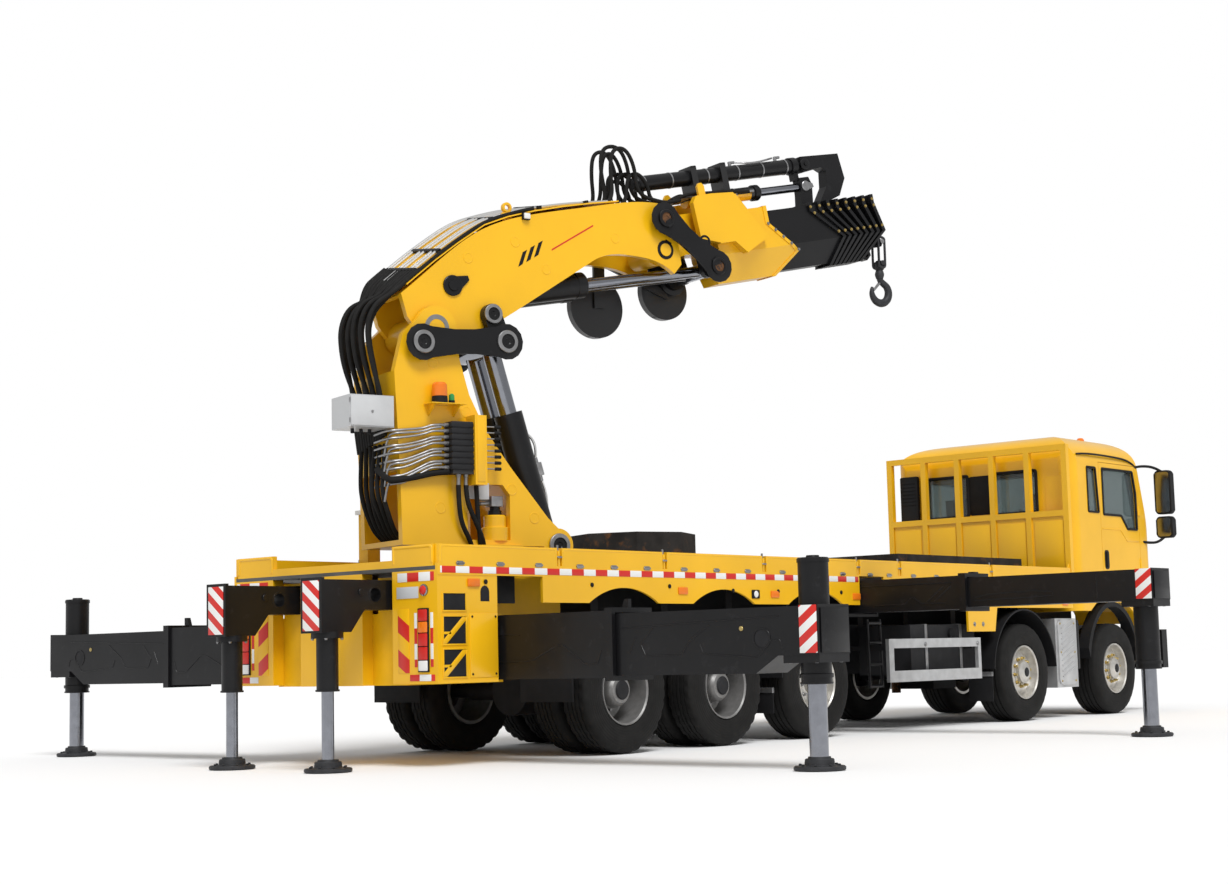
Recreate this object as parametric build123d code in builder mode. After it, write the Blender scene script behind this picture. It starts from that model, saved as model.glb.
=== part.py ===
# A five-axle truck with a folding crane behind its cab deck.
# X runs forward along the truck, Y to its left and Z up; the ground is Z = 0.
# The origin lies on the ground midway along the truck. All sizes are millimetres.
import os
from math import atan2, cos, degrees, radians, sin, tan

from build123d import *

os.makedirs("parts", exist_ok=True)

# Overall sizes
overall_length = 13550
body_width = 2500
half_width = body_width / 2
front_end = overall_length / 2
rear_end = -front_end
running_fit = 0.4
slide_gap = 8
slide_pad = 0.5

# Axles and wheels
# The front pair keeps to the front end and the rear three to the rear end
front_overhang = 1500
rear_overhang = 2950
front_axle_gap = 2200
rear_axle_gaps = (1450, 1400)
axle_x = [front_end - front_overhang, front_end - front_overhang - front_axle_gap]
axle_x += [rear_end + rear_overhang + sum(rear_axle_gaps[n:]) for n in range(3)]
tyre_radius = 540
single_width = 385
twin_width = 295
twin_gap = 45
rim_radius = 292
rim_wall = 27
stub_radius = 50
drive_stub_radius = 60
kingpin_inset = 140
kingpin_radius = 30
single_y = half_width - single_width / 2
twin_y = half_width - twin_width - twin_gap / 2
kingpin_y = single_y - kingpin_inset

# Frame rails
rail_outer = 430
rail_thick = 80
rail_bottom = 800
rail_top = 1100
deck_bottom = 1480
deck_top = 1540
plate_bottom = 1530
side_rail = 25
deck_half = half_width - side_rail

# Outriggers: each pair of beams passes side by side, so left and right stand apart along X
rear_beam_x = rear_end + 1370
front_beam_x = axle_x[2] + 1250
beam_stagger = 280
rear_reach = 4130
front_reach = 4190
rear_beam_wide = 430
rear_beam_tall = 510
rear_beam_z = 920
rear_step = 125
rear_lug = 90
rear_tube_top = 1480
front_beam_wide = 400
front_beam_tall = 320
front_beam_z = 1360
front_step = 0
front_lug = 28
front_tube_top = 1470
stage1_wall = 16
stage2_wall = 14
stage1_length = 1950
stage2_length = 2250
stow_reach = 1080
stage1_setback = 175
end_box = 150
collar_rim = 22
collar_long = 75
tube_bottom = 615
jack_outer = 110
jack_bore = 78
jack_rod = 68
jack_lift = 500
foot_radius = 185
foot_thick = 38
striped_plate = 12

# Rear arms
arm_y = 586
arm_foot_x = rear_end + foot_radius
arm_width = 220
arm_bottom = 1236
arm_top = 1468
arm_bracket = 1063
arm_tube_bottom = 625

# Rear body and deck
tail_deep = 111
skirt_bottom = 1278
arch_radius = 870
tail_in = 735
tail_low = 650
tail_box_half = 380
board_bottom = 1580
board_top = 1730
board_thick = 45
panel_rear = axle_x[1] - 1220
panel_step = axle_x[1] - 655
panel_low = 1000
panel_mid = 1260
guard_x = front_end - 2500
guard_top = 3200
guard_mid = 2350

# Cab
cab_front = front_end - 305
cab_rear = cab_front - 2070
cab_floor = 1500
cab_under = 45
cab_eave = 3060
cab_roof = 3420
cab_wall = 50
cab_half = 1225
cab_round = 180
door_rear = cab_front - 1365
door_front = cab_front - 350
door_bottom = 1330
door_top = 3030
door_gap = 6
hinge_radius = 15
hinge_tall = 60
hinge_levels = (1760, 2420)

# Crane, drawn in its own upright plane: u forward along the boom, z up
column_x = axle_x[4] - 550
slew_angle = -16
ring_radius = 470
ring_bottom = 1640
base_z = 1800
ear_in = 325
ear_out = 395
boom_half = 310
boom_plate = 60
link_in = 405
link_out = 465
pin_big = 70
pin_mid = 60
pin_h = (-562, 3667)
pin_a = (-737, 3524)
pin_j = (87, 3581)
pin_b = (-8, 3831)
pin_c = (619, 1811)
pin_f = (-232, 3984)
pin_k = (1910, 4603)
pin_t = (1867, 4884)
pin_j2 = (2466, 4484)
pin_d = (2370, 4725)
lift_y = 150
lift_barrel = 130
lift_rod = 82
knuckle_y = 115
knuckle_barrel = 100
knuckle_rod = 52

# Outer boom, drawn from the knuckle pin: s along its length, t square to it
outer_angle = 12
outer_half = 240
tele_low = -340
tele_high = 255
tele_fold = -105
tele_half = 190
tele_foot = 95
tele_wall = 16
tele_rear = 720
head_shoulder = 200
head_knee = -100
head_top_s = 1911
head_knee_s = 2281
head_foot_s = 2112
head_top_pitch = 118
head_knee_pitch = 77
head_foot_pitch = 58
collar_thick = 40
collar_rise = 28
top_cylinder_t = 690
top_cylinder_radius = 75
top_rod = 42
low_cylinder_t = 470
low_cylinder_radius = 68
low_rod = 42

turn = radians(slew_angle)
crane = Plane(
    origin=(column_x, 0, 0),
    x_dir=(cos(turn), sin(turn), 0),
    z_dir=(sin(turn), -cos(turn), 0),
)
lean = radians(outer_angle)
boom_dir = crane.x_dir * cos(lean) + Vector(0, 0, 1) * sin(lean)
outer = Plane(
    origin=crane.from_local_coords(Vector(pin_k[0], pin_k[1], 0)),
    x_dir=boom_dir,
    z_dir=crane.z_dir,
)


def block(x0, x1, y0, y1, z0, z1, mode=Mode.ADD):
    """A box between two corners."""
    with Locations(((x0 + x1) / 2, (y0 + y1) / 2, (z0 + z1) / 2)):
        Box(x1 - x0, y1 - y0, z1 - z0, mode=mode)


def slab(plane, outline, start, stop, mode=Mode.ADD):
    """A flat plate: an outline on a plane, from one offset to another."""
    with BuildSketch(plane.offset(start)) as face:
        with BuildLine():
            Polyline(*outline, close=True)
        make_face()
    extrude(face.sketch, amount=stop - start, mode=mode)


def pair(plane, outline, inside, outside, mode=Mode.ADD):
    """The same plate on both sides of a plane."""
    slab(plane, outline, inside, outside, mode)
    slab(plane, outline, -outside, -inside, mode)


def disc(plane, centre, radius, start, stop, mode=Mode.ADD):
    """A round piece square to a plane."""
    with BuildSketch(plane.offset(start)) as face:
        with Locations(centre):
            Circle(radius)
    extrude(face.sketch, amount=stop - start, mode=mode)


def discs(plane, centre, radius, inside, outside, mode=Mode.ADD):
    """The same round piece on both sides of a plane."""
    disc(plane, centre, radius, inside, outside, mode)
    disc(plane, centre, radius, -outside, -inside, mode)


def link_plate(plane, one, other, radius, waist, start, stop):
    """A link: two round eyes joined by a bar."""
    dx = other[0] - one[0]
    dy = other[1] - one[1]
    length = (dx * dx + dy * dy) ** 0.5
    nx = -dy / length * waist
    ny = dx / length * waist
    bar = [
        (one[0] + nx, one[1] + ny),
        (other[0] + nx, other[1] + ny),
        (other[0] - nx, other[1] - ny),
        (one[0] - nx, one[1] - ny),
    ]
    slab(plane, bar, start, stop)
    disc(plane, one, radius, start, stop)
    disc(plane, other, radius, start, stop)


def along(plane, one, other, side):
    """A plane that looks along a line of the crane's plane, off to one side."""
    start = plane.from_local_coords(Vector(one[0], one[1], side))
    end = plane.from_local_coords(Vector(other[0], other[1], side))
    return Plane(origin=start, x_dir=plane.z_dir, z_dir=end - start)


def span(one, other):
    """The distance between two points of a plane."""
    return ((other[0] - one[0]) ** 2 + (other[1] - one[1]) ** 2) ** 0.5


def curved(plane, bends, start, stop, mode=Mode.ADD):
    """A flat plate whose outline is made of smooth and straight runs, each a list of points."""
    with BuildSketch(plane.offset(start)) as face:
        with BuildLine():
            for smooth, points in bends:
                if smooth:
                    Spline(*points)
                else:
                    Polyline(*points)
        make_face()
    extrude(face.sketch, amount=stop - start, mode=mode)


def tyre_ring(width, centre):
    """A tyre's ring, turned round the Y axis, with its mid plane at a given Y."""
    bead = rim_radius + running_fit
    outline = [
        (bead, -0.40 * width),
        (360, -0.50 * width),
        (470, -0.50 * width),
        (522, -0.44 * width),
        (tyre_radius, -0.34 * width),
        (tyre_radius, 0.34 * width),
        (522, 0.44 * width),
        (470, 0.50 * width),
        (360, 0.50 * width),
        (bead, 0.40 * width),
    ]
    with BuildSketch(Plane.XY) as section:
        with BuildLine():
            Polyline(*[(r, y + centre) for r, y in outline], close=True)
        make_face()
    revolve(section.sketch, axis=Axis.Y)


def turned(outline):
    """A piece turned round the Y axis from an outline of radius and Y."""
    with BuildSketch(Plane.XY) as section:
        with BuildLine():
            Polyline(*outline, close=True)
        make_face()
    revolve(section.sketch, axis=Axis.Y)


# Single wheel, made for the left side with its mid plane at Y = 0
single_lip = 0.46 * single_width
with BuildPart() as single_wheel:
    tyre_ring(single_width, 0)
    turned([
        (rim_radius - rim_wall, -single_lip),
        (rim_radius + 8, -single_lip),
        (rim_radius + 8, -single_lip + 7),
        (rim_radius, -single_lip + 12),
        (rim_radius, single_lip - 12),
        (rim_radius + 8, single_lip - 7),
        (rim_radius + 8, single_lip),
        (rim_radius - rim_wall, single_lip),
        (rim_radius - rim_wall, 60),
        (225, 100),
        (175, 118),
        (135, 118),
        (130, 170),
        (100, 195),
        (0, 195),
        (0, 150),
        (stub_radius + running_fit, 150),
        (stub_radius + running_fit, 5),
        (120, 5),
        (135, 90),
        (170, 92),
        (rim_radius - rim_wall - 24, 40),
        (rim_radius - rim_wall, 20),
    ])

# Twin wheel, with the mid plane between its tyres at Y = 0
twin_centre = (twin_width + twin_gap) / 2
twin_lip = twin_centre + 0.46 * twin_width
with BuildPart() as twin_wheel:
    tyre_ring(twin_width, twin_centre)
    tyre_ring(twin_width, -twin_centre)
    turned([
        (rim_radius - rim_wall, -twin_lip),
        (rim_radius + 8, -twin_lip),
        (rim_radius + 8, -twin_lip + 7),
        (rim_radius, -twin_lip + 12),
        (rim_radius, twin_lip - 12),
        (rim_radius + 8, twin_lip - 7),
        (rim_radius + 8, twin_lip),
        (rim_radius - rim_wall, twin_lip),
        (rim_radius - rim_wall, 30),
        (160, 22),
        (160, 120),
        (120, 270),
        (0, 270),
        (0, 140),
        (drive_stub_radius + running_fit, 140),
        (drive_stub_radius + running_fit, -170),
        (150, -170),
        (165, -22),
        (rim_radius - rim_wall, -30),
    ])

wheel_names = []
for index, x in enumerate(axle_x):
    for side, label in ((1, "left"), (-1, "right")):
        pattern = single_wheel if index < 3 else twin_wheel
        y = single_y if index < 3 else twin_y
        name = f"wheel_{index + 1}_{label}"
        face = 0 if side == 1 else 180
        with BuildPart() as wheel:
            add(pattern.part.moved(Location((x, side * y, tyre_radius), (0, 0, face))))
        wheel.part.label = name
        export_step(wheel.part, f"parts/{name}.step")
        wheel_names.append(name)

# Steering knuckles of the two front axles
eye_half = 74
arm_clear = 6
knuckle_x = 58
arm_tall = 55
upright_y = 68
for index in (0, 1):
    for side, label in ((1, "left"), (-1, "right")):
        x = axle_x[index]
        name = f"knuckle_{index + 1}_{label}"
        lower = tyre_radius - eye_half - arm_clear
        upper = tyre_radius + eye_half + arm_clear
        inner = kingpin_y - 60
        mid = kingpin_y + upright_y
        out = mid + 45
        with BuildPart() as knuckle:
            for low in (lower - arm_tall, upper):
                ends = sorted((side * inner, side * out))
                block(x - knuckle_x, x + knuckle_x, ends[0], ends[1], low, low + arm_tall)
            ends = sorted((side * mid, side * out))
            block(x - 66, x + 66, ends[0], ends[1], lower - arm_tall, upper + arm_tall)
            disc(Plane.XY, (x, side * kingpin_y), kingpin_radius, lower - 5, upper + 5)
            tip = single_y + 145
            ends = sorted((side * (out - 5), side * tip))
            disc(Plane.XZ, (x, tyre_radius), stub_radius, -ends[1], -ends[0])
        knuckle.part.label = name
        export_step(knuckle.part, f"parts/{name}.step")

# Axles with their springs
spring_y = 390
spring_half = 42
spring_top = 660
with BuildPart() as axles:
    for index in (0, 1):
        x = axle_x[index]
        beam_end = kingpin_y - 20
        block(x - 55, x + 55, -beam_end, beam_end, tyre_radius - 60, tyre_radius + 60)
        for side in (1, -1):
            spot = (x, side * kingpin_y)
            disc(Plane.XY, spot, 58, tyre_radius - eye_half, tyre_radius + eye_half)
            bore = kingpin_radius + running_fit
            disc(Plane.XY, spot, bore, 0, 2 * tyre_radius, Mode.SUBTRACT)
            y = side * spring_y
            block(x - 700, x + 700, y - spring_half, y + spring_half, 595, spring_top)
            for end in (-665, 665):
                low = spring_top - 5
                block(x + end - 35, x + end + 35, y - 30, y + 30, low, rail_bottom)
    x = axle_x[2]
    beam_end = single_y - single_width / 2 - 10
    block(x - 65, x + 65, -beam_end, beam_end, tyre_radius - 65, tyre_radius + 65)
    for side in (1, -1):
        ends = sorted((side * (beam_end - 5), side * (single_y + 145)))
        disc(Plane.XZ, (x, tyre_radius), stub_radius, -ends[1], -ends[0])
        y = side * spring_y
        block(x - 480, x + 480, y - spring_half, y + spring_half, 600, spring_top)
        for end in (-440, 440):
            low = spring_top - 5
            block(x + end - 35, x + end + 35, y - 30, y + 30, low, rail_bottom)
    for x in axle_x[3:]:
        beam_end = twin_y - 330
        disc(Plane.XZ, (x, tyre_radius), 85, -beam_end, beam_end)
        disc(Plane.YZ, (0, tyre_radius), 215, x - 150, x + 150)
        for side in (1, -1):
            ends = sorted((side * (beam_end - 5), side * (twin_y + 135)))
            disc(Plane.XZ, (x, tyre_radius), drive_stub_radius, -ends[1], -ends[0])
    for side in (1, -1):
        y = side * spring_y
        block(axle_x[4] - 90, axle_x[3] + 90, y - spring_half, y + spring_half, 610, 700)
        mid = (axle_x[3] + axle_x[4]) / 2
        block(mid - 120, mid + 120, y - spring_half, y + spring_half, 690, rail_bottom)
axles.part.label = "axles"
export_step(axles.part, "parts/axles.step")

# Chassis frame: rails, cross members, outrigger housings, arm sleeves and crane base
house_wall = 26
house_y = 800
rear_tunnel = rear_beam_wide / 2 + slide_gap
front_tunnel = front_beam_wide / 2 + slide_gap
rear_house_half = beam_stagger + rear_tunnel + house_wall
front_house_half = beam_stagger + front_tunnel + house_wall
rear_house = (rear_beam_x - rear_house_half, rear_beam_x + rear_house_half)
body_rear = rear_house[0] - tail_deep
front_house = (front_beam_x - front_house_half, front_beam_x + front_house_half)
rear_house_top = rear_beam_z + rear_beam_tall / 2 + slide_gap + house_wall
front_house_top = front_beam_z + front_beam_tall / 2 + slide_gap + 20
front_house_low = front_beam_z - front_beam_tall / 2 - house_wall
rail_front = front_end - 300
pedestal_half = 520
arm_sleeve = arm_width / 2 + slide_gap
sleeve_wall = 20
sleeve_long = 960
with BuildPart() as chassis_frame:
    for side in (1, -1):
        inner, edge = sorted((side * (rail_outer - rail_thick), side * rail_outer))
        block(rear_house[1] - 5, rail_front, inner, edge, rail_bottom, rail_top)
        block(front_house[0] + 60, front_house[1] - 60, inner, edge, rail_top - 5, front_house_low + 5)
    cross_members = [column_x + 75, axle_x[1] - 1575, axle_x[1] + 625, rail_front - 60]
    for x in cross_members + [(axle_x[n] + axle_x[n + 1]) / 2 for n in (2, 3)]:
        block(x - 60, x + 60, -rail_outer + 5, rail_outer - 5, rail_bottom + 40, rail_top - 40)
    rear_house_low = rear_beam_z - rear_beam_tall / 2 - house_wall
    block(rear_house[0], rear_house[1], -house_y, house_y, rear_house_low, rear_house_top)
    block(front_house[0], front_house[1], -house_y, house_y, front_house_low, front_house_top)
    for mid, wide, tall, level in (
        (rear_beam_x, rear_tunnel, rear_beam_tall, rear_beam_z),
        (front_beam_x, front_tunnel, front_beam_tall, front_beam_z),
    ):
        for x in (mid - beam_stagger, mid + beam_stagger):
            block(
                x - wide, x + wide, -house_y - 5, house_y + 5,
                level - tall / 2 - slide_pad, level + tall / 2 + slide_gap, Mode.SUBTRACT,
            )
    # Sleeves for the rear arms stand on the rear housing
    for side in (1, -1):
        y = side * arm_y
        half = arm_sleeve + sleeve_wall
        block(
            rear_house[0], body_rear + sleeve_long, y - half, y + half,
            rear_house_top - 5, arm_top + slide_gap + sleeve_wall,
        )
    for side in (1, -1):
        y = side * arm_y
        block(
            rear_house[0] - 5, body_rear + sleeve_long + 5, y - arm_sleeve, y + arm_sleeve,
            arm_bottom - slide_pad, arm_top + slide_gap, Mode.SUBTRACT,
        )
    # Crane base between the last axle and the rear housing
    block(
        column_x - pedestal_half, column_x + pedestal_half, -pedestal_half, pedestal_half,
        rail_top - 40, ring_bottom - 60,
    )
    disc(Plane.XY, (column_x, 0), ring_radius + 20, ring_bottom - 65, ring_bottom - slide_pad)
    # Deck bearers on the rails
    rear_bearers = [axle_x[4] + along for along in (525, 1525, 2525)]
    front_bearers = [axle_x[1] + along for along in (-2075, -1175, -175, 825)]
    for x in rear_bearers + front_bearers:
        block(x - 50, x + 50, -rail_outer, rail_outer, rail_top - 5, deck_bottom)
    # Cab mounts
    for x in (cab_rear + 120, cab_front - 410):
        for side in (1, -1):
            inner, edge = sorted((side * (rail_outer - rail_thick), side * rail_outer))
            block(x - 60, x + 60, inner, edge, rail_top - 5, cab_floor - cab_under)
    # Front bumper on the rail ends
    block(rail_front - 20, front_end, -rail_outer, rail_outer, rail_bottom + 20, rail_bottom + 120)
    block(front_end - 140, front_end, -half_width + 40, half_width - 40, 520, 1000)
chassis_frame.part.label = "chassis_frame"
export_step(chassis_frame.part, "parts/chassis_frame.step")

# Engine and gearbox as one block between the rails
with BuildPart() as engine:
    block(
        cab_rear - 150, cab_front - 570, -rail_outer + rail_thick, rail_outer - rail_thick,
        rail_bottom + 60, cab_floor - 60,
    )
    block(cab_rear - 560, cab_rear - 140, -230, 230, rail_bottom + 80, rail_top - 10)
engine.part.label = "engine"
export_step(engine.part, "parts/engine.step")

# Outrigger beams and jacks
gland = 70
rod_spare = 40
for end, x_mid, reach, level, wide, tall, step_up, lug_tall, tube_top in (
    (
        "rear", rear_beam_x, rear_reach, rear_beam_z, rear_beam_wide, rear_beam_tall,
        rear_step, rear_lug, rear_tube_top,
    ),
    (
        "front", front_beam_x, front_reach, front_beam_z, front_beam_wide, front_beam_tall,
        front_step, front_lug, front_tube_top,
    ),
):
    stroke = (reach - stow_reach) / 2
    tip1 = stow_reach - stage1_setback + stroke
    # The lug stays outside the housing when the beam is in
    lug_long = stow_reach - stage1_setback - house_y - 10
    half1 = wide / 2
    tall1 = tall / 2
    half2 = half1 - stage1_wall - slide_gap
    high2 = tall1 - stage1_wall - slide_gap
    low2 = -tall1 + stage1_wall + slide_pad
    for side, label in ((1, "left"), (-1, "right")):
        stagger = beam_stagger if end == "front" else -beam_stagger
        x = x_mid + stagger * side
        look = Plane(origin=(x, 0, level), x_dir=(0, side, 0), z_dir=(side, 0, 0))
        with BuildPart() as stage1:
            root = tip1 - stage1_length
            slab(look, [(root, -tall1), (tip1, -tall1), (tip1, tall1), (root, tall1)], -half1, half1)
            rim = tall1 + collar_rim
            lip = [(tip1 - collar_long, -rim), (tip1, -rim), (tip1, rim), (tip1 - collar_long, rim)]
            slab(look, lip, -half1 - collar_rim, half1 + collar_rim)
            lug = [
                (tip1 - lug_long, tall1 - 5), (tip1 - 20, tall1 - 5),
                (tip1 - 20, tall1 + lug_tall), (tip1 - lug_long + 35, tall1 + lug_tall),
            ]
            slab(look, lug, -18, 18)
            clear = tall1 - stage1_wall
            hole = [(root - 5, -clear), (tip1 + 5, -clear), (tip1 + 5, clear), (root - 5, clear)]
            slab(look, hole, -half1 + stage1_wall, half1 - stage1_wall, Mode.SUBTRACT)
        stage1.part.label = f"{end}_beam_1_{label}"
        export_step(stage1.part, f"parts/{end}_beam_1_{label}.step")

        with BuildPart() as stage2:
            root = reach - stage2_length
            neck = reach - end_box
            nose = reach + end_box
            foot = low2 + step_up
            side_view = [
                (root, low2), (neck - 240, low2), (neck - 40, foot), (nose, foot), (nose, high2), (root, high2),
            ]
            slab(look, side_view, -half2, half2)
            wall = stage2_wall
            hollow = [
                (root - 5, low2 + wall), (neck - 250, low2 + wall), (neck - 50, foot + wall),
                (neck, foot + wall), (neck, high2 - wall), (root - 5, high2 - wall),
            ]
            slab(look, hollow, -half2 + wall, half2 - wall, Mode.SUBTRACT)
            post = (x, side * reach)
            disc(Plane.XY, post, jack_outer, tube_bottom, tube_top)
            base = [(neck, foot - 55), (nose + 10, foot - 55), (nose + 10, foot + 5), (neck, foot + 5)]
            slab(look, base, -half2 + 6, half2 - 6)
            plate = [
                (nose - 2, foot + 5), (nose + striped_plate, foot + 5),
                (nose + striped_plate, high2 + 8), (nose - 2, high2 + 8),
            ]
            slab(look, plate, -half2, half2)
            disc(Plane.XY, post, jack_bore, tube_bottom + gland, tube_top - 20, Mode.SUBTRACT)
            disc(Plane.XY, post, jack_rod + running_fit, tube_bottom - 5, tube_top - 30, Mode.SUBTRACT)
        stage2.part.label = f"{end}_beam_2_{label}"
        export_step(stage2.part, f"parts/{end}_beam_2_{label}.step")

        with BuildPart() as jack:
            disc(Plane.XY, post, foot_radius, 0, foot_thick)
            disc(Plane.XY, post, foot_radius - 40, foot_thick - 2, foot_thick + 50)
            disc(Plane.XY, post, jack_rod, foot_thick + 40, tube_top - 20 - jack_lift - rod_spare)
        jack.part.label = f"{end}_jack_{label}"
        export_step(jack.part, f"parts/{end}_jack_{label}.step")

# Rear arms with their own jacks
arm_jack = 85
arm_jack_bore = 56
arm_rod = 48
arm_length = 1250
arm_hole = 55
for side, label in ((1, "left"), (-1, "right")):
    y = side * arm_y
    spot = (arm_foot_x, y)
    arm_tube_top = arm_top - 20
    with BuildPart() as arm:
        head = arm_foot_x - 130
        look = Plane(origin=(0, y, 0), x_dir=(1, 0, 0), z_dir=(0, -1, 0))
        outline = [
            (head, arm_top), (head + arm_length, arm_top), (head + arm_length, arm_bottom),
            (arm_foot_x + 290, arm_bottom), (arm_foot_x + 150, arm_bracket), (head, arm_bracket),
        ]
        slab(look, outline, -arm_width / 2, arm_width / 2)
        disc(Plane.XY, spot, arm_jack, arm_tube_bottom, arm_bracket + 5)
        disc(Plane.XY, spot, arm_jack + 40, arm_bracket - 45, arm_bracket + 5)
        half = arm_width / 2 + 12
        block(head - 30, head + 2, y - half, y + half, arm_bracket - 5, arm_top + 15)
        disc(look, (arm_foot_x + 400, (arm_top + arm_bottom) / 2), arm_hole, -200, 200, Mode.SUBTRACT)
        disc(Plane.XY, spot, arm_jack_bore, arm_tube_bottom + gland, arm_tube_top, Mode.SUBTRACT)
        disc(Plane.XY, spot, arm_rod + running_fit, arm_tube_bottom - 5, arm_tube_top - 10, Mode.SUBTRACT)
    arm.part.label = f"rear_arm_{label}"
    export_step(arm.part, f"parts/rear_arm_{label}.step")

    with BuildPart() as arm_foot:
        disc(Plane.XY, spot, foot_radius, 0, foot_thick)
        disc(Plane.XY, spot, foot_radius - 45, foot_thick - 2, foot_thick + 45)
        disc(Plane.XY, spot, arm_rod, foot_thick + 40, arm_tube_top - jack_lift - rod_spare)
    arm_foot.part.label = f"arm_jack_{label}"
    export_step(arm_foot.part, f"parts/arm_jack_{label}.step")

# Load deck and the plate round the crane's ring
with BuildPart() as cargo_deck:
    block(column_x + 800, guard_x + 35, -deck_half, deck_half, deck_bottom, deck_top)
    block(body_rear, column_x + 805, -deck_half, deck_half, plate_bottom, deck_top + 20)
    disc(Plane.XY, (column_x, 0), ring_radius + 80, deck_bottom, deck_top + 60, Mode.SUBTRACT)
    block(
        column_x - pedestal_half - 10, column_x + pedestal_half + 10, -pedestal_half - 10, pedestal_half + 10,
        deck_bottom - 10, deck_top + 60, Mode.SUBTRACT,
    )
    block(
        front_house[0] - 2, front_house[1] + 2, -half_width, half_width,
        deck_bottom - 5, deck_top + 5, Mode.SUBTRACT,
    )
    # Upright post beside the column
    block(column_x - 315, column_x - 165, half_width - 190, half_width - 70, deck_top + 5, 2190)
cargo_deck.part.label = "cargo_deck"
export_step(cargo_deck.part, "parts/cargo_deck.step")

# Ballast carried on the deck
with BuildPart() as deck_ballast:
    with BuildSketch(Plane.XY.offset(deck_top)) as face:
        with Locations((column_x + 2125, 0)):
            RegularPolygon(radius=620, side_count=8)
    extrude(face.sketch, amount=440)
    block(guard_x - 3225, guard_x - 575, -900, 300, deck_top, deck_top + 300)
deck_ballast.part.label = "deck_ballast"
export_step(deck_ballast.part, "parts/deck_ballast.step")

# Sides of the body: skirts with wheel arches, tail cabinets, front panels and drop-side boards
skirt_thick = side_rail
board_gap = 60
cover_thick = 15
board_rear_lengths = (1350, 1310, 1410)
notch_board = 700
with BuildPart() as body_sides:
    for side in (1, -1):
        wall = Plane(origin=(0, side * half_width, 0), x_dir=(1, 0, 0), z_dir=(0, -1, 0))
        start, stop = sorted((0, skirt_thick * side))
        jack_x = rear_beam_x - beam_stagger * side
        beam_x = front_beam_x + beam_stagger * side
        skirt_rear = rear_beam_x + rear_house_half + 20
        skirt_front = beam_x - front_beam_wide / 2 - 15
        slab(wall, [
            (skirt_rear, skirt_bottom), (skirt_front, skirt_bottom),
            (skirt_front, board_bottom - 5), (skirt_rear, board_bottom - 5),
        ], start, stop)
        for x in axle_x[2:]:
            disc(wall, (x, tyre_radius), arch_radius, start - 5, stop + 5, Mode.SUBTRACT)
        # Panel under the deck's edge, over the second wheel
        slab(wall, [
            (panel_rear, panel_low), (panel_step, panel_low), (panel_step + 60, panel_mid),
            (guard_x - 35, panel_mid), (guard_x - 35, board_bottom - 5), (panel_rear, board_bottom - 5),
        ], start, stop)
        # Tail cabinets round the stowed jack
        ends = sorted((side * (half_width - 5), side * tail_in))
        block(body_rear, rear_house[0], ends[0], ends[1], tail_low, plate_bottom)
        ends = sorted((side * (half_width - 5), side * (half_width - 185)))
        block(body_rear, jack_x - rear_beam_wide / 2 - 45, ends[0], ends[1], tail_low, plate_bottom)
        # Rail along the deck's edge, raised over the front beam
        ends = sorted((side * half_width, side * deck_half))
        block(body_rear, skirt_front, ends[0], ends[1], deck_bottom + 10, board_bottom)
        block(
            beam_x + front_beam_wide / 2 + 25, guard_x - 35, ends[0], ends[1],
            deck_bottom + 10, board_bottom,
        )
        ends = sorted((side * half_width, side * (house_y + 20)))
        block(
            skirt_front - 60, beam_x + front_beam_wide / 2 + 85, ends[0], ends[1],
            board_bottom - cover_thick, board_bottom,
        )
        # Boards
        ends = sorted((side * half_width, side * (half_width - board_thick)))
        x = body_rear + 20
        for length in board_rear_lengths:
            block(x, x + length, ends[0], ends[1], board_bottom, board_top)
            x = x + length + board_gap
        notch = skirt_front + 20
        block(x, notch - board_gap, ends[0], ends[1], board_bottom, board_top)
        block(notch, notch + notch_board, ends[0], ends[1], board_bottom, board_top)
        x = notch + notch_board + board_gap
        length = (guard_x - 60 - x - board_gap) / 2
        for n in (0, 1):
            at = x + n * (length + board_gap)
            block(at, at + length, ends[0], ends[1], board_bottom, board_top)
        # Tail board of this corner
        ends = sorted((side * (half_width - board_thick - 5), side * tail_in))
        block(body_rear, body_rear + board_thick, ends[0], ends[1], deck_top + 20, board_top)
    block(body_rear, rear_house[0], -tail_box_half, tail_box_half, tail_low - 10, plate_bottom)
    block(body_rear, body_rear + 90, -tail_in, tail_in, deck_top + 20, deck_top + 80)
body_sides.part.label = "body_sides"
export_step(body_sides.part, "parts/body_sides.step")

# Headboard guard behind the cab
bar = 70
with BuildPart() as headboard:
    for y in (-half_width + bar / 2, -720, -240, 240, 720, half_width - bar / 2):
        block(guard_x - bar / 2, guard_x + bar / 2, y - bar / 2, y + bar / 2, deck_top, guard_top)
    for level in (guard_mid, guard_top - bar):
        block(guard_x - bar / 2, guard_x + bar / 2, -half_width, half_width, level, level + bar)
    # Sheet between the posts, up to the middle rail
    block(guard_x - 15, guard_x + 15, -half_width + 10, half_width - 10, deck_top, guard_mid + 5)
headboard.part.label = "headboard"
export_step(headboard.part, "parts/headboard.step")

# Cab shell: the side, front and plan outlines cross to give its rounded form
side_plane = Plane(origin=(0, 0, 0), x_dir=(1, 0, 0), z_dir=(0, -1, 0))


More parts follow.
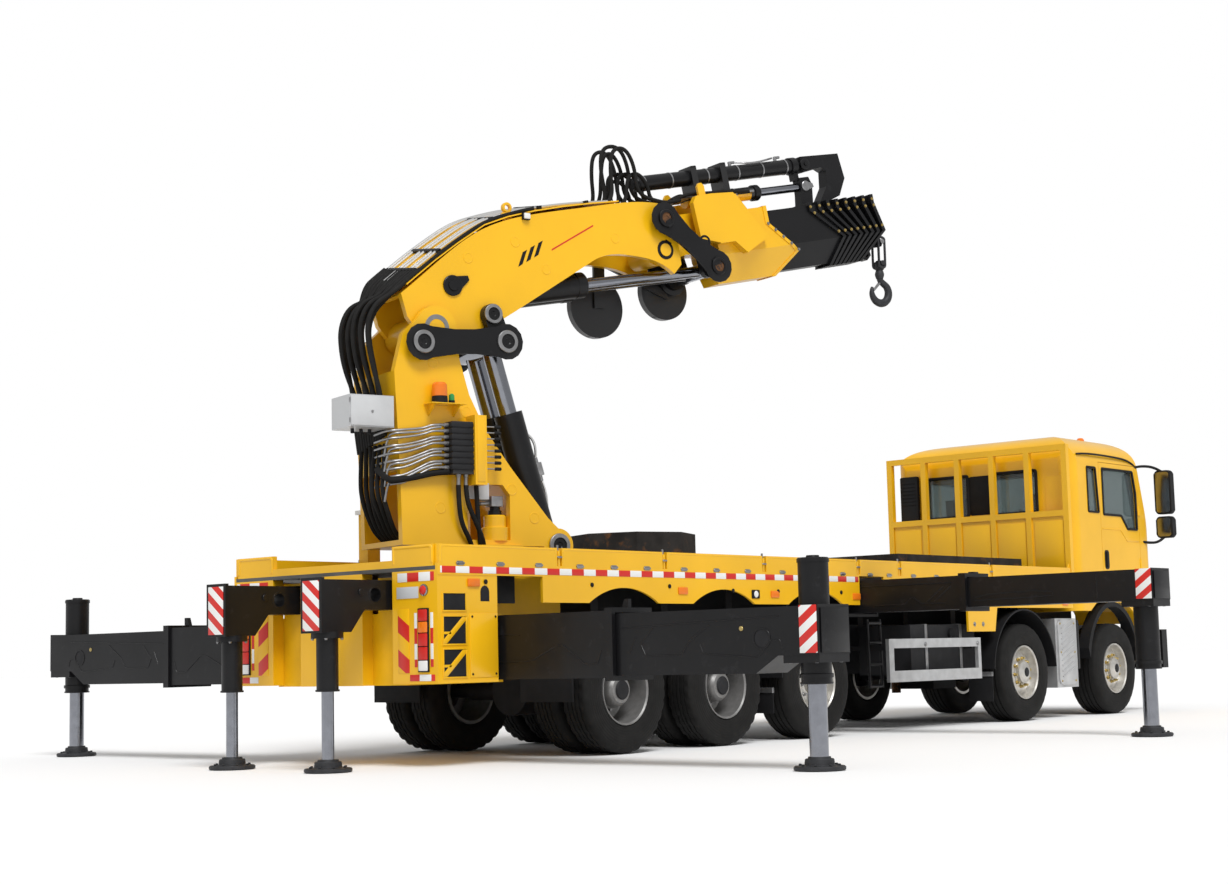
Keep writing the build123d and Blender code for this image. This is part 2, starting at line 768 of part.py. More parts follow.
def cab_form(inset, floor, belly):
    """The cab's outer form, or its inside when inset by the wall."""
    rear = cab_rear + inset
    front = cab_front - inset
    roof = cab_roof - inset
    half = cab_half - inset
    bends = [
        (True, [
            (rear, cab_eave - inset), (rear + 90, cab_eave + 190 - inset), (rear + 420, roof - 60),
            (rear + 1100, roof), (rear + 1480, roof - 50), (rear + 1650, roof - 190),
            (rear + 1730 - 2 * inset, 3050),
        ]),
        (False, [
            (rear + 1730 - 2 * inset, 3050), (cab_front - 80 - inset, 2150), (front, 1700), (front, floor),
        ] + belly),
        (False, [
            belly[-1] if belly else (front, floor),
            (rear, floor + 180 if belly else floor), (rear, cab_eave - inset),
        ]),
    ]
    with BuildPart() as form:
        curved(side_plane, bends, -half, half)
        with BuildSketch(Plane.YZ.offset(cab_rear - 10)) as front_view:
            with BuildLine():
                Polyline((-half, cab_eave - 60), (-half, 900), (half, 900), (half, cab_eave - 60))
                Spline(
                    (half, cab_eave - 60), (half - 60, cab_eave + 130 - inset), (half - 420, roof - 60), (0, roof),
                    (-half + 420, roof - 60), (-half + 60, cab_eave + 130 - inset), (-half, cab_eave - 60),
                )
            make_face()
        extrude(front_view.sketch, amount=cab_front - cab_rear + 20, mode=Mode.INTERSECT)
        with BuildSketch(Plane.XY.offset(900)) as plan:
            with Locations(((rear + front) / 2, 0)):
                RectangleRounded(front - rear, 2 * half, cab_round - inset)
        extrude(plan.sketch, amount=3000, mode=Mode.INTERSECT)
    return form.part


door_hole = [
    (door_rear - door_gap, door_bottom - door_gap), (door_rear - door_gap, door_top + door_gap),
    (door_front - 80 + door_gap, door_top + door_gap), (door_front + door_gap, 2700),
    (door_front + door_gap, 1620), (door_front - 360, door_bottom - door_gap),
]
cab_belly = [(axle_x[0] + along, level) for along, level in (
    (685, 1050), (545, 1230), (285, 1390), (-285, 1390), (-545, 1230),
)]
outer_form = cab_form(0, 1050, cab_belly)
inner_form = cab_form(cab_wall, cab_floor, [])
with BuildPart() as cab_shell:
    add(outer_form)
    add(inner_form, mode=Mode.SUBTRACT)
    slab(side_plane, door_hole, cab_half - cab_wall - 5, cab_half + 5, Mode.SUBTRACT)
    slab(side_plane, door_hole, -cab_half - 5, -cab_half + cab_wall + 5, Mode.SUBTRACT)
    quarter = [(cab_rear + 390, 2420), (cab_rear + 390, 2960), (cab_rear + 610, 2960), (cab_rear + 660, 2420)]
    slab(side_plane, quarter, -cab_half - 5, cab_half + 5, Mode.SUBTRACT)
    block(cab_rear - 5, cab_rear + cab_wall + 5, 180, 760, 2430, 2930, Mode.SUBTRACT)
    block(cab_rear - 5, cab_rear + cab_wall + 5, -760, -180, 2430, 2930, Mode.SUBTRACT)
    block(cab_front - 620, cab_front + 130, -1080, 1080, 2240, 3060, Mode.SUBTRACT)
    block(cab_rear - 100, cab_front - 490, -rail_outer, rail_outer, 1000, cab_floor - cab_under, Mode.SUBTRACT)
    block(axle_x[0] - 175, axle_x[0] + 175, -700, 700, 1000, 1350, Mode.SUBTRACT)
    block(cab_front - 530, cab_front + 90, -1100, 1100, 1000, cab_floor - cab_under, Mode.SUBTRACT)
    for side in (1, -1):
        spot = (door_front, side * cab_half)
        for level in hinge_levels:
            block(
                door_front, door_front + 40, *sorted((side * cab_half, side * (cab_half + hinge_radius))),
                level, level + hinge_tall,
            )
            disc(Plane.XY, spot, hinge_radius, level, level + hinge_tall)
            low = level + hinge_tall
            disc(Plane.XY, spot, hinge_radius + 4, low, low + hinge_tall + 1, Mode.SUBTRACT)
cab_shell.part.label = "cab_shell"
export_step(cab_shell.part, "parts/cab_shell.step")

# Cab doors
for side, label in ((1, "left"), (-1, "right")):
    with BuildPart() as door:
        leaf = [
            (door_rear, door_bottom), (door_rear, door_top), (door_front - 80, door_top),
            (door_front, 2700), (door_front, 1620), (door_front - 360, door_bottom),
        ]
        start, stop = sorted((-side * (cab_half - cab_wall), -side * cab_half))
        slab(side_plane, leaf, start, stop)
        pane = [
            (door_rear + 75, 2400), (door_rear + 75, 2960), (door_front - 130, 2960), (door_front - 60, 2690),
            (door_front - 60, 2240), (door_front - 320, 2240), (door_front - 480, 2400),
        ]
        slab(side_plane, pane, start - 5, stop + 5, Mode.SUBTRACT)
        spot = (door_front, side * cab_half)
        for level in hinge_levels:
            disc(Plane.XY, spot, hinge_radius + 6, level - 5, level + hinge_tall + 0.5, Mode.SUBTRACT)
            low = level + hinge_tall + slide_pad
            disc(Plane.XY, spot, hinge_radius, low, low + hinge_tall)
    door.part.label = f"door_{label}"
    export_step(door.part, f"parts/door_{label}.step")

# Cab glass
glass = 8
screen_top = cab_front - 383
screen_lean = 229
with BuildPart() as cab_glass:
    slab(side_plane, [
        (screen_top, 3060), (screen_top + glass, 3060),
        (screen_top + glass + screen_lean, 2240), (screen_top + screen_lean, 2240),
    ], -1080, 1080)
    for side in (1, -1):
        start, stop = sorted((-side * (cab_half - 20), -side * (cab_half - 20 - glass)))
        slab(side_plane, quarter, start, stop)
        ends = sorted((side * 180, side * 760))
        block(cab_rear + 20, cab_rear + 20 + glass, ends[0], ends[1], 2430, 2930)
cab_glass.part.label = "cab_glass"
export_step(cab_glass.part, "parts/cab_glass.step")

# Seats, dashboard, bunk and steering wheel
with BuildPart() as cab_interior:
    for y in (-620, 620):
        block(cab_rear + 750, cab_rear + 1250, y - 250, y + 250, cab_floor, 1980)
        back = [(cab_rear + 660, 1980), (cab_rear + 600, 2700), (cab_rear + 710, 2700), (cab_rear + 800, 1980)]
        slab(side_plane, back, y - 250, y + 250)
    block(cab_rear + cab_wall + 20, cab_rear + 550, -1090, 1090, cab_floor, 1950)
    slab(side_plane, [
        (cab_front - 390, cab_floor), (cab_front - 390, 2050), (cab_front - 240, 2180), (cab_front - 160, 2120),
        (cab_front - 85, 1690), (cab_front - 85, cab_floor),
    ], -1090, 1090)
    wheel_plane = Plane(origin=(cab_front - 520, 620, 2150), z_dir=(-0.55, 0, 0.84))
    with BuildSketch(wheel_plane) as face:
        Circle(230)
        Circle(195, mode=Mode.SUBTRACT)
        Rectangle(400, 40)
        Circle(60)
    extrude(face.sketch, amount=30)
    with BuildSketch(wheel_plane) as face:
        Circle(35)
    extrude(face.sketch, amount=-260)
cab_interior.part.label = "cab_interior"
export_step(cab_interior.part, "parts/cab_interior.step")

# Black mudguards, mirrors and bumper corners
guard_in = 690
fixed_guard_in = 590
guard_thick = 18
with BuildPart() as mudguards:
    for index, inner, front_cut in ((1, guard_in, 800), (2, fixed_guard_in, 430)):
        x = axle_x[index]
        for side in (1, -1):
            look = Plane(origin=(x, side * single_y, tyre_radius), x_dir=(1, 0, 0), z_dir=(0, -1, 0))
            half = single_width / 2 - 2
            with BuildSketch(look.offset(-half)) as face:
                Circle(inner + guard_thick)
                Circle(inner, mode=Mode.SUBTRACT)
                with Locations((0, -500)):
                    Rectangle(2000, 1100, mode=Mode.SUBTRACT)
                with Locations((front_cut + 500, 0)):
                    Rectangle(1000, 2000, mode=Mode.SUBTRACT)
            extrude(face.sketch, amount=2 * half)
            ends = sorted((side * (single_y - 80), side * (single_y - 40)))
            for reach in (-160, 120):
                foot = tyre_radius + (inner * inner - reach * reach) ** 0.5 + guard_thick / 2
                block(x + reach - 20, x + reach + 20, ends[0], ends[1], foot, deck_bottom)
mudguards.part.label = "mudguards"
export_step(mudguards.part, "parts/mudguards.step")

# Fuel tanks, side guards and silencer boxes under the deck
with BuildPart() as underbody_fittings:
    for side in (1, -1):
        ends = sorted((side * rail_outer, side * (half_width - 170)))
        block(front_beam_x + 675, axle_x[1] - 825, ends[0], ends[1], 560, 1080)
        guard_rear = front_beam_x + beam_stagger * side + foot_radius + 125
        guard_front = axle_x[1] - 950
        for x in (guard_rear + 60, guard_front - 110):
            ends = sorted((side * rail_outer, side * (half_width - 30)))
            block(x, x + 50, ends[0], ends[1], 820, 870)
        ends = sorted((side * (half_width - 60), side * (half_width - 20)))
        block(guard_rear, guard_front, ends[0], ends[1], 495, 935)
        ends = sorted((side * (half_width - 70), side * (half_width - 10)))
        block(guard_rear + 90, guard_front - 60, ends[0], ends[1], 610, 840, Mode.SUBTRACT)
        ends = sorted((side * rail_outer, side * (half_width - 25)))
        block(axle_x[1] + 745, axle_x[0] - 945, ends[0], ends[1], 345, 1140)
underbody_fittings.part.label = "underbody_fittings"
export_step(underbody_fittings.part, "parts/underbody_fittings.step")

# Crane column
with BuildPart() as column:
    disc(Plane.XY, (column_x, 0), ring_radius, ring_bottom, base_z + 5)
    sides = [
        (-915, 1840), (600, 1840), (735, 1862), (515, 2050), (140, 2490), (-110, 2820),
        (-256, 3100), (-345, 3400), (-390, 3667), (-640, 3840), (-890, 3600), (-975, 3274), (-930, 2427),
    ]
    pair(crane, sides, ear_in, ear_out)
    discs(crane, pin_h, 195, ear_in, ear_out)
    discs(crane, pin_a, 165, ear_in, ear_out)
    discs(crane, pin_c, 150, ear_in, ear_out)
    slab(crane, [(-915, base_z), (470, base_z), (470, 1845), (-915, 1845)], -ear_out, ear_out)
    slab(crane, [(-930, 2427), (-893, 2427), (-938, 3274), (-975, 3274)], -ear_in, ear_in)
    slab(crane, [
        (330, 1840), (360, 1840), (115, 2480), (-275, 3090),
        (-360, 3330), (-395, 3330), (-310, 3080), (85, 2470),
    ], -ear_in, ear_in)
    pocket = [(-290, 1850), (130, 1850), (130, 2240), (60, 2330), (-230, 2330), (-290, 2260)]
    pair(crane, pocket, ear_in - 5, ear_out + 5, Mode.SUBTRACT)
    disc(crane, pin_h, pin_big, -ear_out - 4, ear_out + 4)
    discs(crane, pin_a, pin_mid, ear_out - 5, link_out + 4)
    disc(crane, pin_c, pin_mid, -ear_out - 10, ear_out + 10)
    # Valve block and its cover on the right side, control box on a bracket behind
    slab(crane, [(-500, 2400), (-292, 2400), (-292, 2850), (-500, 2850)], ear_out - 5, 530)
    slab(crane, [(-295, 2310), (-180, 2310), (-180, 2910), (-295, 2910)], ear_out - 5, 556)
    slab(crane, [(-1400, 2780), (-995, 2780), (-995, 3050), (-1400, 3050)], 60, 420)
    slab(crane, [(-1010, 2880), (-930, 2880), (-930, 2960), (-1010, 2960)], 60, 330)
column.part.label = "column"
export_step(column.part, "parts/column.step")

# Lift cylinders: barrels pinned at the column's foot, rods up to the links
lift_length = span(pin_c, pin_j)
barrel_top = 1230
with BuildPart() as lift_barrels:
    disc(crane, pin_c, 105, -ear_in + 15, ear_in - 15)
    for y in (-lift_y, lift_y):
        axis = along(crane, pin_c, pin_j, y)
        disc(axis, (0, 0), lift_barrel, 40, barrel_top)
    for y in (-lift_y, lift_y):
        axis = along(crane, pin_c, pin_j, y)
        disc(axis, (0, 0), lift_rod + 5, 160, barrel_top - gland, Mode.SUBTRACT)
        disc(axis, (0, 0), lift_rod + running_fit, 165, barrel_top + 5, Mode.SUBTRACT)
    disc(crane, pin_c, pin_mid + running_fit, -ear_in, ear_in, Mode.SUBTRACT)
lift_barrels.part.label = "lift_barrels"
export_step(lift_barrels.part, "parts/lift_barrels.step")

with BuildPart() as lift_rods:
    for y in (-lift_y, lift_y):
        axis = along(crane, pin_c, pin_j, y)
        disc(axis, (0, 0), lift_rod, 480, lift_length)
    disc(crane, pin_j, 100, -boom_half - 8, boom_half + 8)
lift_rods.part.label = "lift_rods"
export_step(lift_rods.part, "parts/lift_rods.step")

with BuildPart() as lift_link:
    for start, stop in ((link_in, link_out), (-link_out, -link_in)):
        link_plate(crane, pin_a, pin_j, 118, 78, start, stop)
    disc(crane, pin_a, pin_mid + running_fit, -600, 600, Mode.SUBTRACT)
lift_link.part.label = "lift_link"
export_step(lift_link.part, "parts/lift_link.step")

with BuildPart() as lift_boom_link:
    for start, stop in ((ear_in + 3, ear_out), (-ear_out, -ear_in - 3)):
        link_plate(crane, pin_b, pin_j, 92, 90, start, stop)
    disc(crane, pin_b, pin_mid + running_fit, -600, 600, Mode.SUBTRACT)
lift_boom_link.part.label = "lift_boom_link"
export_step(lift_boom_link.part, "parts/lift_boom_link.step")

# Inner boom: two plates with a top cover, open below for the knuckle cylinders
boom_in = boom_half - boom_plate
heel = 150
boom_top = [
    (-860, 3960), (-527, 4245), (-25, 4614), (491, 4794), (1100, 4930), (1688, 5036), (1982, 5031),
]
boom_arch = [(2006, 4384), (1772, 4490), (1559, 4512), (1300, 4500), (1119, 4434)]
boom_bends = [
    (True, boom_top),
    (False, [boom_top[-1], (2040, 4800), (2090, 4480), boom_arch[0]]),
    (True, boom_arch),
    (False, [
        boom_arch[-1], (265, 3887), (59, 3760), (-430, 3560), (-700, 3640), (-800, 3760), boom_top[0],
    ]),
]
with BuildPart() as inner_boom:
    curved(crane, boom_bends, boom_in, boom_half)
    curved(crane, boom_bends, -boom_half, -boom_in)
    discs(crane, pin_h, heel, boom_in, boom_half)
    cover = [
        (-860, 3950), (-527, 4235), (-25, 4600), (491, 4780), (1450, 4970),
        (1450, 4935), (500, 4745), (0, 4570), (-505, 4205), (-825, 3935),
    ]
    slab(crane, cover, -boom_in - 5, boom_in + 5)
    web = [(-480, 4000), (-440, 3980), (200, 4450), (1300, 4670), (1300, 4710), (180, 4490)]
    slab(crane, web, -boom_in - 5, boom_in + 5)
    disc(crane, pin_h, heel, -boom_in - 5, boom_in + 5)
    disc(crane, pin_h, pin_big + running_fit, -600, 600, Mode.SUBTRACT)
    discs(crane, pin_b, pin_mid, boom_half - 5, ear_out + 4)
    disc(crane, pin_f, 50, -boom_in - 5, boom_in + 5)
    disc(crane, pin_k, pin_mid, -boom_half - 8, boom_half + 8)
    discs(crane, pin_t, pin_mid, boom_half - 5, link_out - 81)
    # Hose reels on the far side
    disc(crane, (1600, 4150), 295, -490, -420)
    disc(crane, (2391, 4360), 270, -490, -420)
    slab(crane, [(1560, 4140), (1680, 4140), (1680, 4640), (1560, 4640)], -425, -395)
    slab(crane, [(1600, 4560), (1640, 4560), (1640, 4620), (1600, 4620)], -400, -boom_half + 5)
    slab(crane, [(1660, 4560), (1660, 4620), (2420, 4370), (2400, 4290)], -425, -395)
inner_boom.part.label = "inner_boom"
export_step(inner_boom.part, "parts/inner_boom.step")

# Knuckle cylinders
knuckle_length = span(pin_f, pin_j2)
knuckle_top = 1350
with BuildPart() as knuckle_barrels:
    disc(crane, pin_f, 90, -boom_in + 12, boom_in - 12)
    for y in (-knuckle_y, knuckle_y):
        axis = along(crane, pin_f, pin_j2, y)
        disc(axis, (0, 0), knuckle_barrel, 40, knuckle_top)
    for y in (-knuckle_y, knuckle_y):
        axis = along(crane, pin_f, pin_j2, y)
        disc(axis, (0, 0), knuckle_rod + 5, 150, knuckle_top - gland, Mode.SUBTRACT)
        disc(axis, (0, 0), knuckle_rod + running_fit, 155, knuckle_top + 5, Mode.SUBTRACT)
    disc(crane, pin_f, 50 + running_fit, -600, 600, Mode.SUBTRACT)
knuckle_barrels.part.label = "knuckle_barrels"
export_step(knuckle_barrels.part, "parts/knuckle_barrels.step")

outer_neck = 165
with BuildPart() as knuckle_rods:
    for y in (-knuckle_y, knuckle_y):
        axis = along(crane, pin_f, pin_j2, y)
        disc(axis, (0, 0), knuckle_rod, 800, knuckle_length)
    disc(crane, pin_j2, 72, -outer_neck - 5, outer_neck + 5)
knuckle_rods.part.label = "knuckle_rods"
export_step(knuckle_rods.part, "parts/knuckle_rods.step")

with BuildPart() as knuckle_link:
    for start, stop in ((boom_half + 10, link_out - 85), (-link_out + 85, -boom_half - 10)):
        link_plate(crane, pin_t, pin_j2, 105, 70, start, stop)
    disc(crane, pin_t, pin_mid + running_fit, -600, 600, Mode.SUBTRACT)
knuckle_link.part.label = "knuckle_link"
export_step(knuckle_link.part, "parts/knuckle_link.step")

with BuildPart() as knuckle_boom_link:
    for start, stop in ((outer_neck + 12, outer_half), (-outer_half, -outer_neck - 12)):
        link_plate(crane, pin_d, pin_j2, 80, 72, start, stop)
    disc(crane, pin_d, 50 + running_fit, -600, 600, Mode.SUBTRACT)
knuckle_boom_link.part.label = "knuckle_boom_link"
export_step(knuckle_boom_link.part, "parts/knuckle_boom_link.step")

# Outer boom with the sleeve that its telescopes slide in
cross = Plane(origin=outer.origin, x_dir=outer.z_dir * -1, z_dir=boom_dir)


def section(side_in, floor_in):
    """A telescope's cross section, drawn in by a side clearance and lifted by a floor clearance."""
    run = tele_half - tele_foot
    fall = tele_fold - tele_low
    length = (run * run + fall * fall) ** 0.5
    shift = side_in * (length - fall) / run if run else 0
    half = tele_half - side_in
    fold = tele_fold + shift
    low = tele_low + floor_in
    foot = half - (fold - low) * run / fall
    return [
        (-half, tele_high - side_in), (half, tele_high - side_in), (half, fold),
        (foot, low), (-foot, low), (-half, fold),
    ]


def prism(outline, start, stop, mode=Mode.ADD):
    """A straight length along the outer boom with a given cross section."""
    with BuildSketch(cross.offset(start)) as face:
        with BuildLine():
            Polyline(*outline, close=True)
        make_face()
    extrude(face.sketch, amount=stop - start, mode=mode)


def nose_line(top, knee, foot, low, high, extra):
    """The bent front line of a head plate: back at its shoulder and its foot, foremost at its knee."""
    return [
        (top[0] + extra, high), (top[0] + extra, top[1]), (knee[0] + extra, knee[1]), (foot + extra, low),
    ]


def head_spots(p):
    """Shoulder, knee and foot of one head plate, counted from the boom's root."""
    return (
        (head_top_s + p * head_top_pitch, head_shoulder),
        (head_knee_s + p * head_knee_pitch, head_knee),
        head_foot_s + p * head_foot_pitch,
    )


def head_plate(spots, rise, thick):
    """One bent plate round the boom."""
    low = tele_low - rise
    high = tele_high + rise
    outline = nose_line(*spots, low, high, 0) + nose_line(*spots, low, high, thick)[::-1]
    with BuildPart() as plate:
        slab(outer, outline, -tele_half - rise, tele_half + rise)
        prism(section(-rise, -rise), 0, 4000, Mode.INTERSECT)
    return plate.part


collar_spots = ((1311, 126), (1640, -179), 1348)
base_flare = 48
base_collar = head_plate(collar_spots, base_flare, 45)
with BuildPart() as outer_boom:
    prism(section(-base_flare + 8, -base_flare + 8), 680, 1700)
    low = tele_low - base_flare
    high = tele_high + base_flare
    ahead = [(2600, low), (2600, high)]
    slab(outer, nose_line(*collar_spots, low, high, 5) + ahead, -400, 400, Mode.SUBTRACT)
    neck_plate = [
        (-60, -95), (-60, 110), (250, 330), (700, 330), (700, -70), (560, -60), (330, -60), (100, -95),
    ]
    slab(outer, neck_plate, -outer_neck, outer_neck)
    disc(outer, (0, 0), 125, -outer_neck, outer_neck)
    housing = [(680, -60), (1180, -60), (1300, 20), (1010, 455), (640, 460), (650, 300)]
    slab(outer, housing, -outer_half, outer_half)
    side_cover = [(660, -10), (840, -10), (966, -134), (1260, -10), (925, 462), (660, 475)]
    pair(outer, side_cover, outer_half - 5, boom_half + 2)
    side_lip = [(440, 60), (665, -5), (665, 475), (480, 470), (430, 410)]
    pair(outer, side_lip, outer_half + 8, boom_half + 2)
    pair(outer, [(530, 440), (610, 440), (610, 560), (585, 590), (555, 590), (530, 560)], 262, 292)
    add(base_collar)
    prism(section(-slide_gap, -slide_pad), tele_rear - 25, 2200, Mode.SUBTRACT)
    disc(outer, (0, 0), pin_mid + running_fit, -600, 600, Mode.SUBTRACT)
    discs(crane, pin_d, 50, outer_neck - 5, outer_half + 2)
    # Lower extension cylinder's barrel and the guides of the upper one
    low_plane = Plane(
        origin=outer.from_local_coords(Vector(0, low_cylinder_t, 0)), x_dir=outer.z_dir, z_dir=boom_dir,
    )
    disc(low_plane, (0, 0), low_cylinder_radius, 560, 1470)
    for at in (640, 1000):
        guide = [(at, 440), (at + 70, 440), (at + 70, top_cylinder_t + 95), (at, top_cylinder_t + 95)]
        slab(outer, guide, -100, 100)
    top_plane = Plane(
        origin=outer.from_local_coords(Vector(0, top_cylinder_t, 0)), x_dir=outer.z_dir, z_dir=boom_dir,
    )
    disc(top_plane, (0, 0), top_cylinder_radius + slide_pad, 600, 1200, Mode.SUBTRACT)
    disc(low_plane, (0, 0), low_rod + 6, 600, 1470 - gland, Mode.SUBTRACT)
    disc(low_plane, (0, 0), low_rod + running_fit, 605, 1475, Mode.SUBTRACT)
outer_boom.part.label = "outer_boom"
export_step(outer_boom.part, "parts/outer_boom.step")

# Telescopes, each with two bent head plates
sections = 4
hook_pin = (2925, -195)
lug_half = 30
hook_bore = 26
for n in range(sections):
    side_in = n * (tele_wall + slide_gap)
    floor_in = n * (tele_wall + slide_pad)
    rear = tele_rear + n * 20
    heads = [head_plate(head_spots(2 * n + k), collar_rise, collar_thick) for k in (0, 1)]
    with BuildPart() as tele:
        prism(section(side_in, floor_in), rear, 3000)
        low = tele_low - collar_rise
        high = tele_high + collar_rise
        front = nose_line(*head_spots(2 * n + 1), low, high, 5)
        slab(outer, front + [(3600, low), (3600, high)], -400, 400, Mode.SUBTRACT)
        for head in heads:
            add(head)
        if n == 0:
            # Eye of the lower rod and the upper cylinder's barrel, both on the first head
            eye = [(1960, 250), (2110, 250), (2150, 480), (2120, 560), (2000, 560), (1990, 400)]
            slab(outer, eye, -55, 55)
            disc(low_plane, (0, 0), low_rod, 900, 2050)
            disc(top_plane, (0, 0), top_cylinder_radius, 30, 2010)
            slab(outer, [(1950, 540), (2008, 540), (2008, 690), (1950, 690)], -40, 40)
            disc(top_plane, (0, 0), top_rod + 6, 800, 2010 - gland, Mode.SUBTRACT)
            disc(top_plane, (0, 0), top_rod + running_fit, 805, 2015, Mode.SUBTRACT)
        if n == 1:
            # Curved bracket of the upper rod
            arch = [
                (2060, 610), (2060, 770), (2560, 760), (2590, 500), (2480, 330), (2368, 300), (2368, 262),
                (2185, 262), (2330, 440), (2360, 600), (2300, 640),
            ]
            slab(outer, arch, -60, 60)
            disc(top_plane, (0, 0), top_rod, 1100, 2070)
        if n < sections - 1:
            prism(section(side_in + tele_wall, floor_in + tele_wall), rear - 5, 3600, Mode.SUBTRACT)
        else:
            lug = [(2600, -120), (2890, -125), (2965, -195), (2930, -245), (2740, -245), (2600, -240)]
            slab(outer, lug, -lug_half, lug_half)
            slab(outer, [(2540, -250), (2740, -250), (2750, -320), (2690, -365), (2540, -325)], -45, 45)
            disc(outer, (2690, -305), 28, -80, 80, Mode.SUBTRACT)
            disc(outer, hook_pin, hook_bore, -2 * lug_half, 2 * lug_half)
    tele.part.label = f"tele_{n + 1}"
    export_step(tele.part, f"parts/tele_{n + 1}.step")

# Hook with its link and swivel; the throat opens towards the column
hook_mid = -530
link_long = 225
with BuildPart() as hook:
    spot = outer.from_local_coords(Vector(hook_pin[0], hook_pin[1], 0))
    hang = Plane(origin=spot, x_dir=crane.x_dir, z_dir=crane.z_dir)
    for start, stop in ((lug_half + 3, lug_half + 25), (-lug_half - 25, -lug_half - 3)):
        link_plate(hang, (0, 0), (0, -link_long), 46, 42, start, stop)
    disc(hang, (0, -link_long), 28, -lug_half - 28, lug_half + 28)
    slab(hang, [(-40, -link_long), (40, -link_long), (30, -390), (-30, -390)], -28, 28)
    with BuildSketch(hang.offset(-32)) as face:
        with Locations((0, hook_mid)):
            Circle(150)
            Circle(85, mode=Mode.SUBTRACT)
            with Locations((-120, 92)):
                Rectangle(180, 130, mode=Mode.SUBTRACT)
    extrude(face.sketch, amount=64)
    disc(hang, (0, 0), hook_bore + running_fit, -80, 80, Mode.SUBTRACT)
hook.part.label = "hook"
export_step(hook.part, "parts/hook.step")
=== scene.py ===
import math

import bmesh
import bpy
from mathutils import Matrix, Vector


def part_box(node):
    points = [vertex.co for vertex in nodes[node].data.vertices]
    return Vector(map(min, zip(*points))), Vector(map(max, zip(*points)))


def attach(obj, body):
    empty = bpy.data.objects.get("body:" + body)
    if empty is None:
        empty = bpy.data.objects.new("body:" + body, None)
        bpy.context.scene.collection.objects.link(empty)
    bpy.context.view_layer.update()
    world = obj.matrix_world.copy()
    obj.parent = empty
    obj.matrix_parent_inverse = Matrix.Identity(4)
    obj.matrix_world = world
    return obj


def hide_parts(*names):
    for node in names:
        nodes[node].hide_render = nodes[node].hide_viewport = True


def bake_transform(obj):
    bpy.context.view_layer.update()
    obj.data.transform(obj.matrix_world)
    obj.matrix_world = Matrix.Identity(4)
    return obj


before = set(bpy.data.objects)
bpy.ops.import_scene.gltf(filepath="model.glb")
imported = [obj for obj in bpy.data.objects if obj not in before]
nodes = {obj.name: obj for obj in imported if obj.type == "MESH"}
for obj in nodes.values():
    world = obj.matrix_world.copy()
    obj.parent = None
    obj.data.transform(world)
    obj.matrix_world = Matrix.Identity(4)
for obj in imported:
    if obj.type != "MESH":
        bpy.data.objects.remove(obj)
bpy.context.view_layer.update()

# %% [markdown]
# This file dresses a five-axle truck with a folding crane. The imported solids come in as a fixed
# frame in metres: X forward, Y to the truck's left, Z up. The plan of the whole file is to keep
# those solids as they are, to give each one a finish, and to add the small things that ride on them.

SIDES = (("left", 1), ("right", -1))

# %% [markdown]
# The crane is slewed 16 degrees to the right. It is easier to place its fittings in its own plane,
# where u runs forward along the boom, z is up and the third number is the way to the boom's right.
# The outer boom leans a further 12 degrees, so it gets a second pair of numbers, s and t.

# %% crane and outer boom coordinates
COLUMN = Vector((-4.375, 0.0, 0.0))
SLEW = math.radians(-16.0)
ALONG = Vector((math.cos(SLEW), math.sin(SLEW), 0.0))
RIGHT = Vector((math.sin(SLEW), -math.cos(SLEW), 0.0))
UP = Vector((0.0, 0.0, 1.0))
LEAN = math.radians(12.0)
BOOM = ALONG * math.cos(LEAN) + UP * math.sin(LEAN)
SQUARE = UP * math.cos(LEAN) - ALONG * math.sin(LEAN)
PIN = {
    "heel": (-0.562, 3.667), "link_foot": (-0.737, 3.524), "link_tip": (0.087, 3.581),
    "boom_link": (-0.008, 3.831), "lift_foot": (0.619, 1.811), "knuckle": (1.910, 4.603),
    "fold_foot": (-0.232, 3.984), "fold_link": (1.867, 4.884), "fold_tip": (2.466, 4.484),
    "fold_boom": (2.370, 4.725),
}


def crane(u, z, right=0.0):
    return COLUMN + ALONG * u + UP * z + RIGHT * right


KNUCKLE = crane(*PIN["knuckle"])


def outer(s, t, right=0.0):
    return KNUCKLE + BOOM * s + SQUARE * t + RIGHT * right


def crane_route(*places):
    """A line through (u, z, right) places of the crane."""
    return [crane(*place) for place in places]


def outer_route(*places):
    """A line through (s, t, right) places of the outer boom."""
    return [outer(*place) for place in places]


def crane_outline(points, right):
    """An outline of (u, z) points, laid at one distance to the boom's right."""
    return [crane(u, z, right) for u, z in points]


print("knuckle pin at", [round(v, 3) for v in KNUCKLE])

# %% [markdown]
# Every finish is a small node tree on Object coordinates: a base colour that drifts a little with
# noise, a roughness that drifts the other way, and a fine bump. A solid that carries two finishes,
# such as a jack with a bright rod and a dark foot, gets zones: ranges along named directions that
# switch the colour, metal and roughness. This leaves the solid's mesh alone.

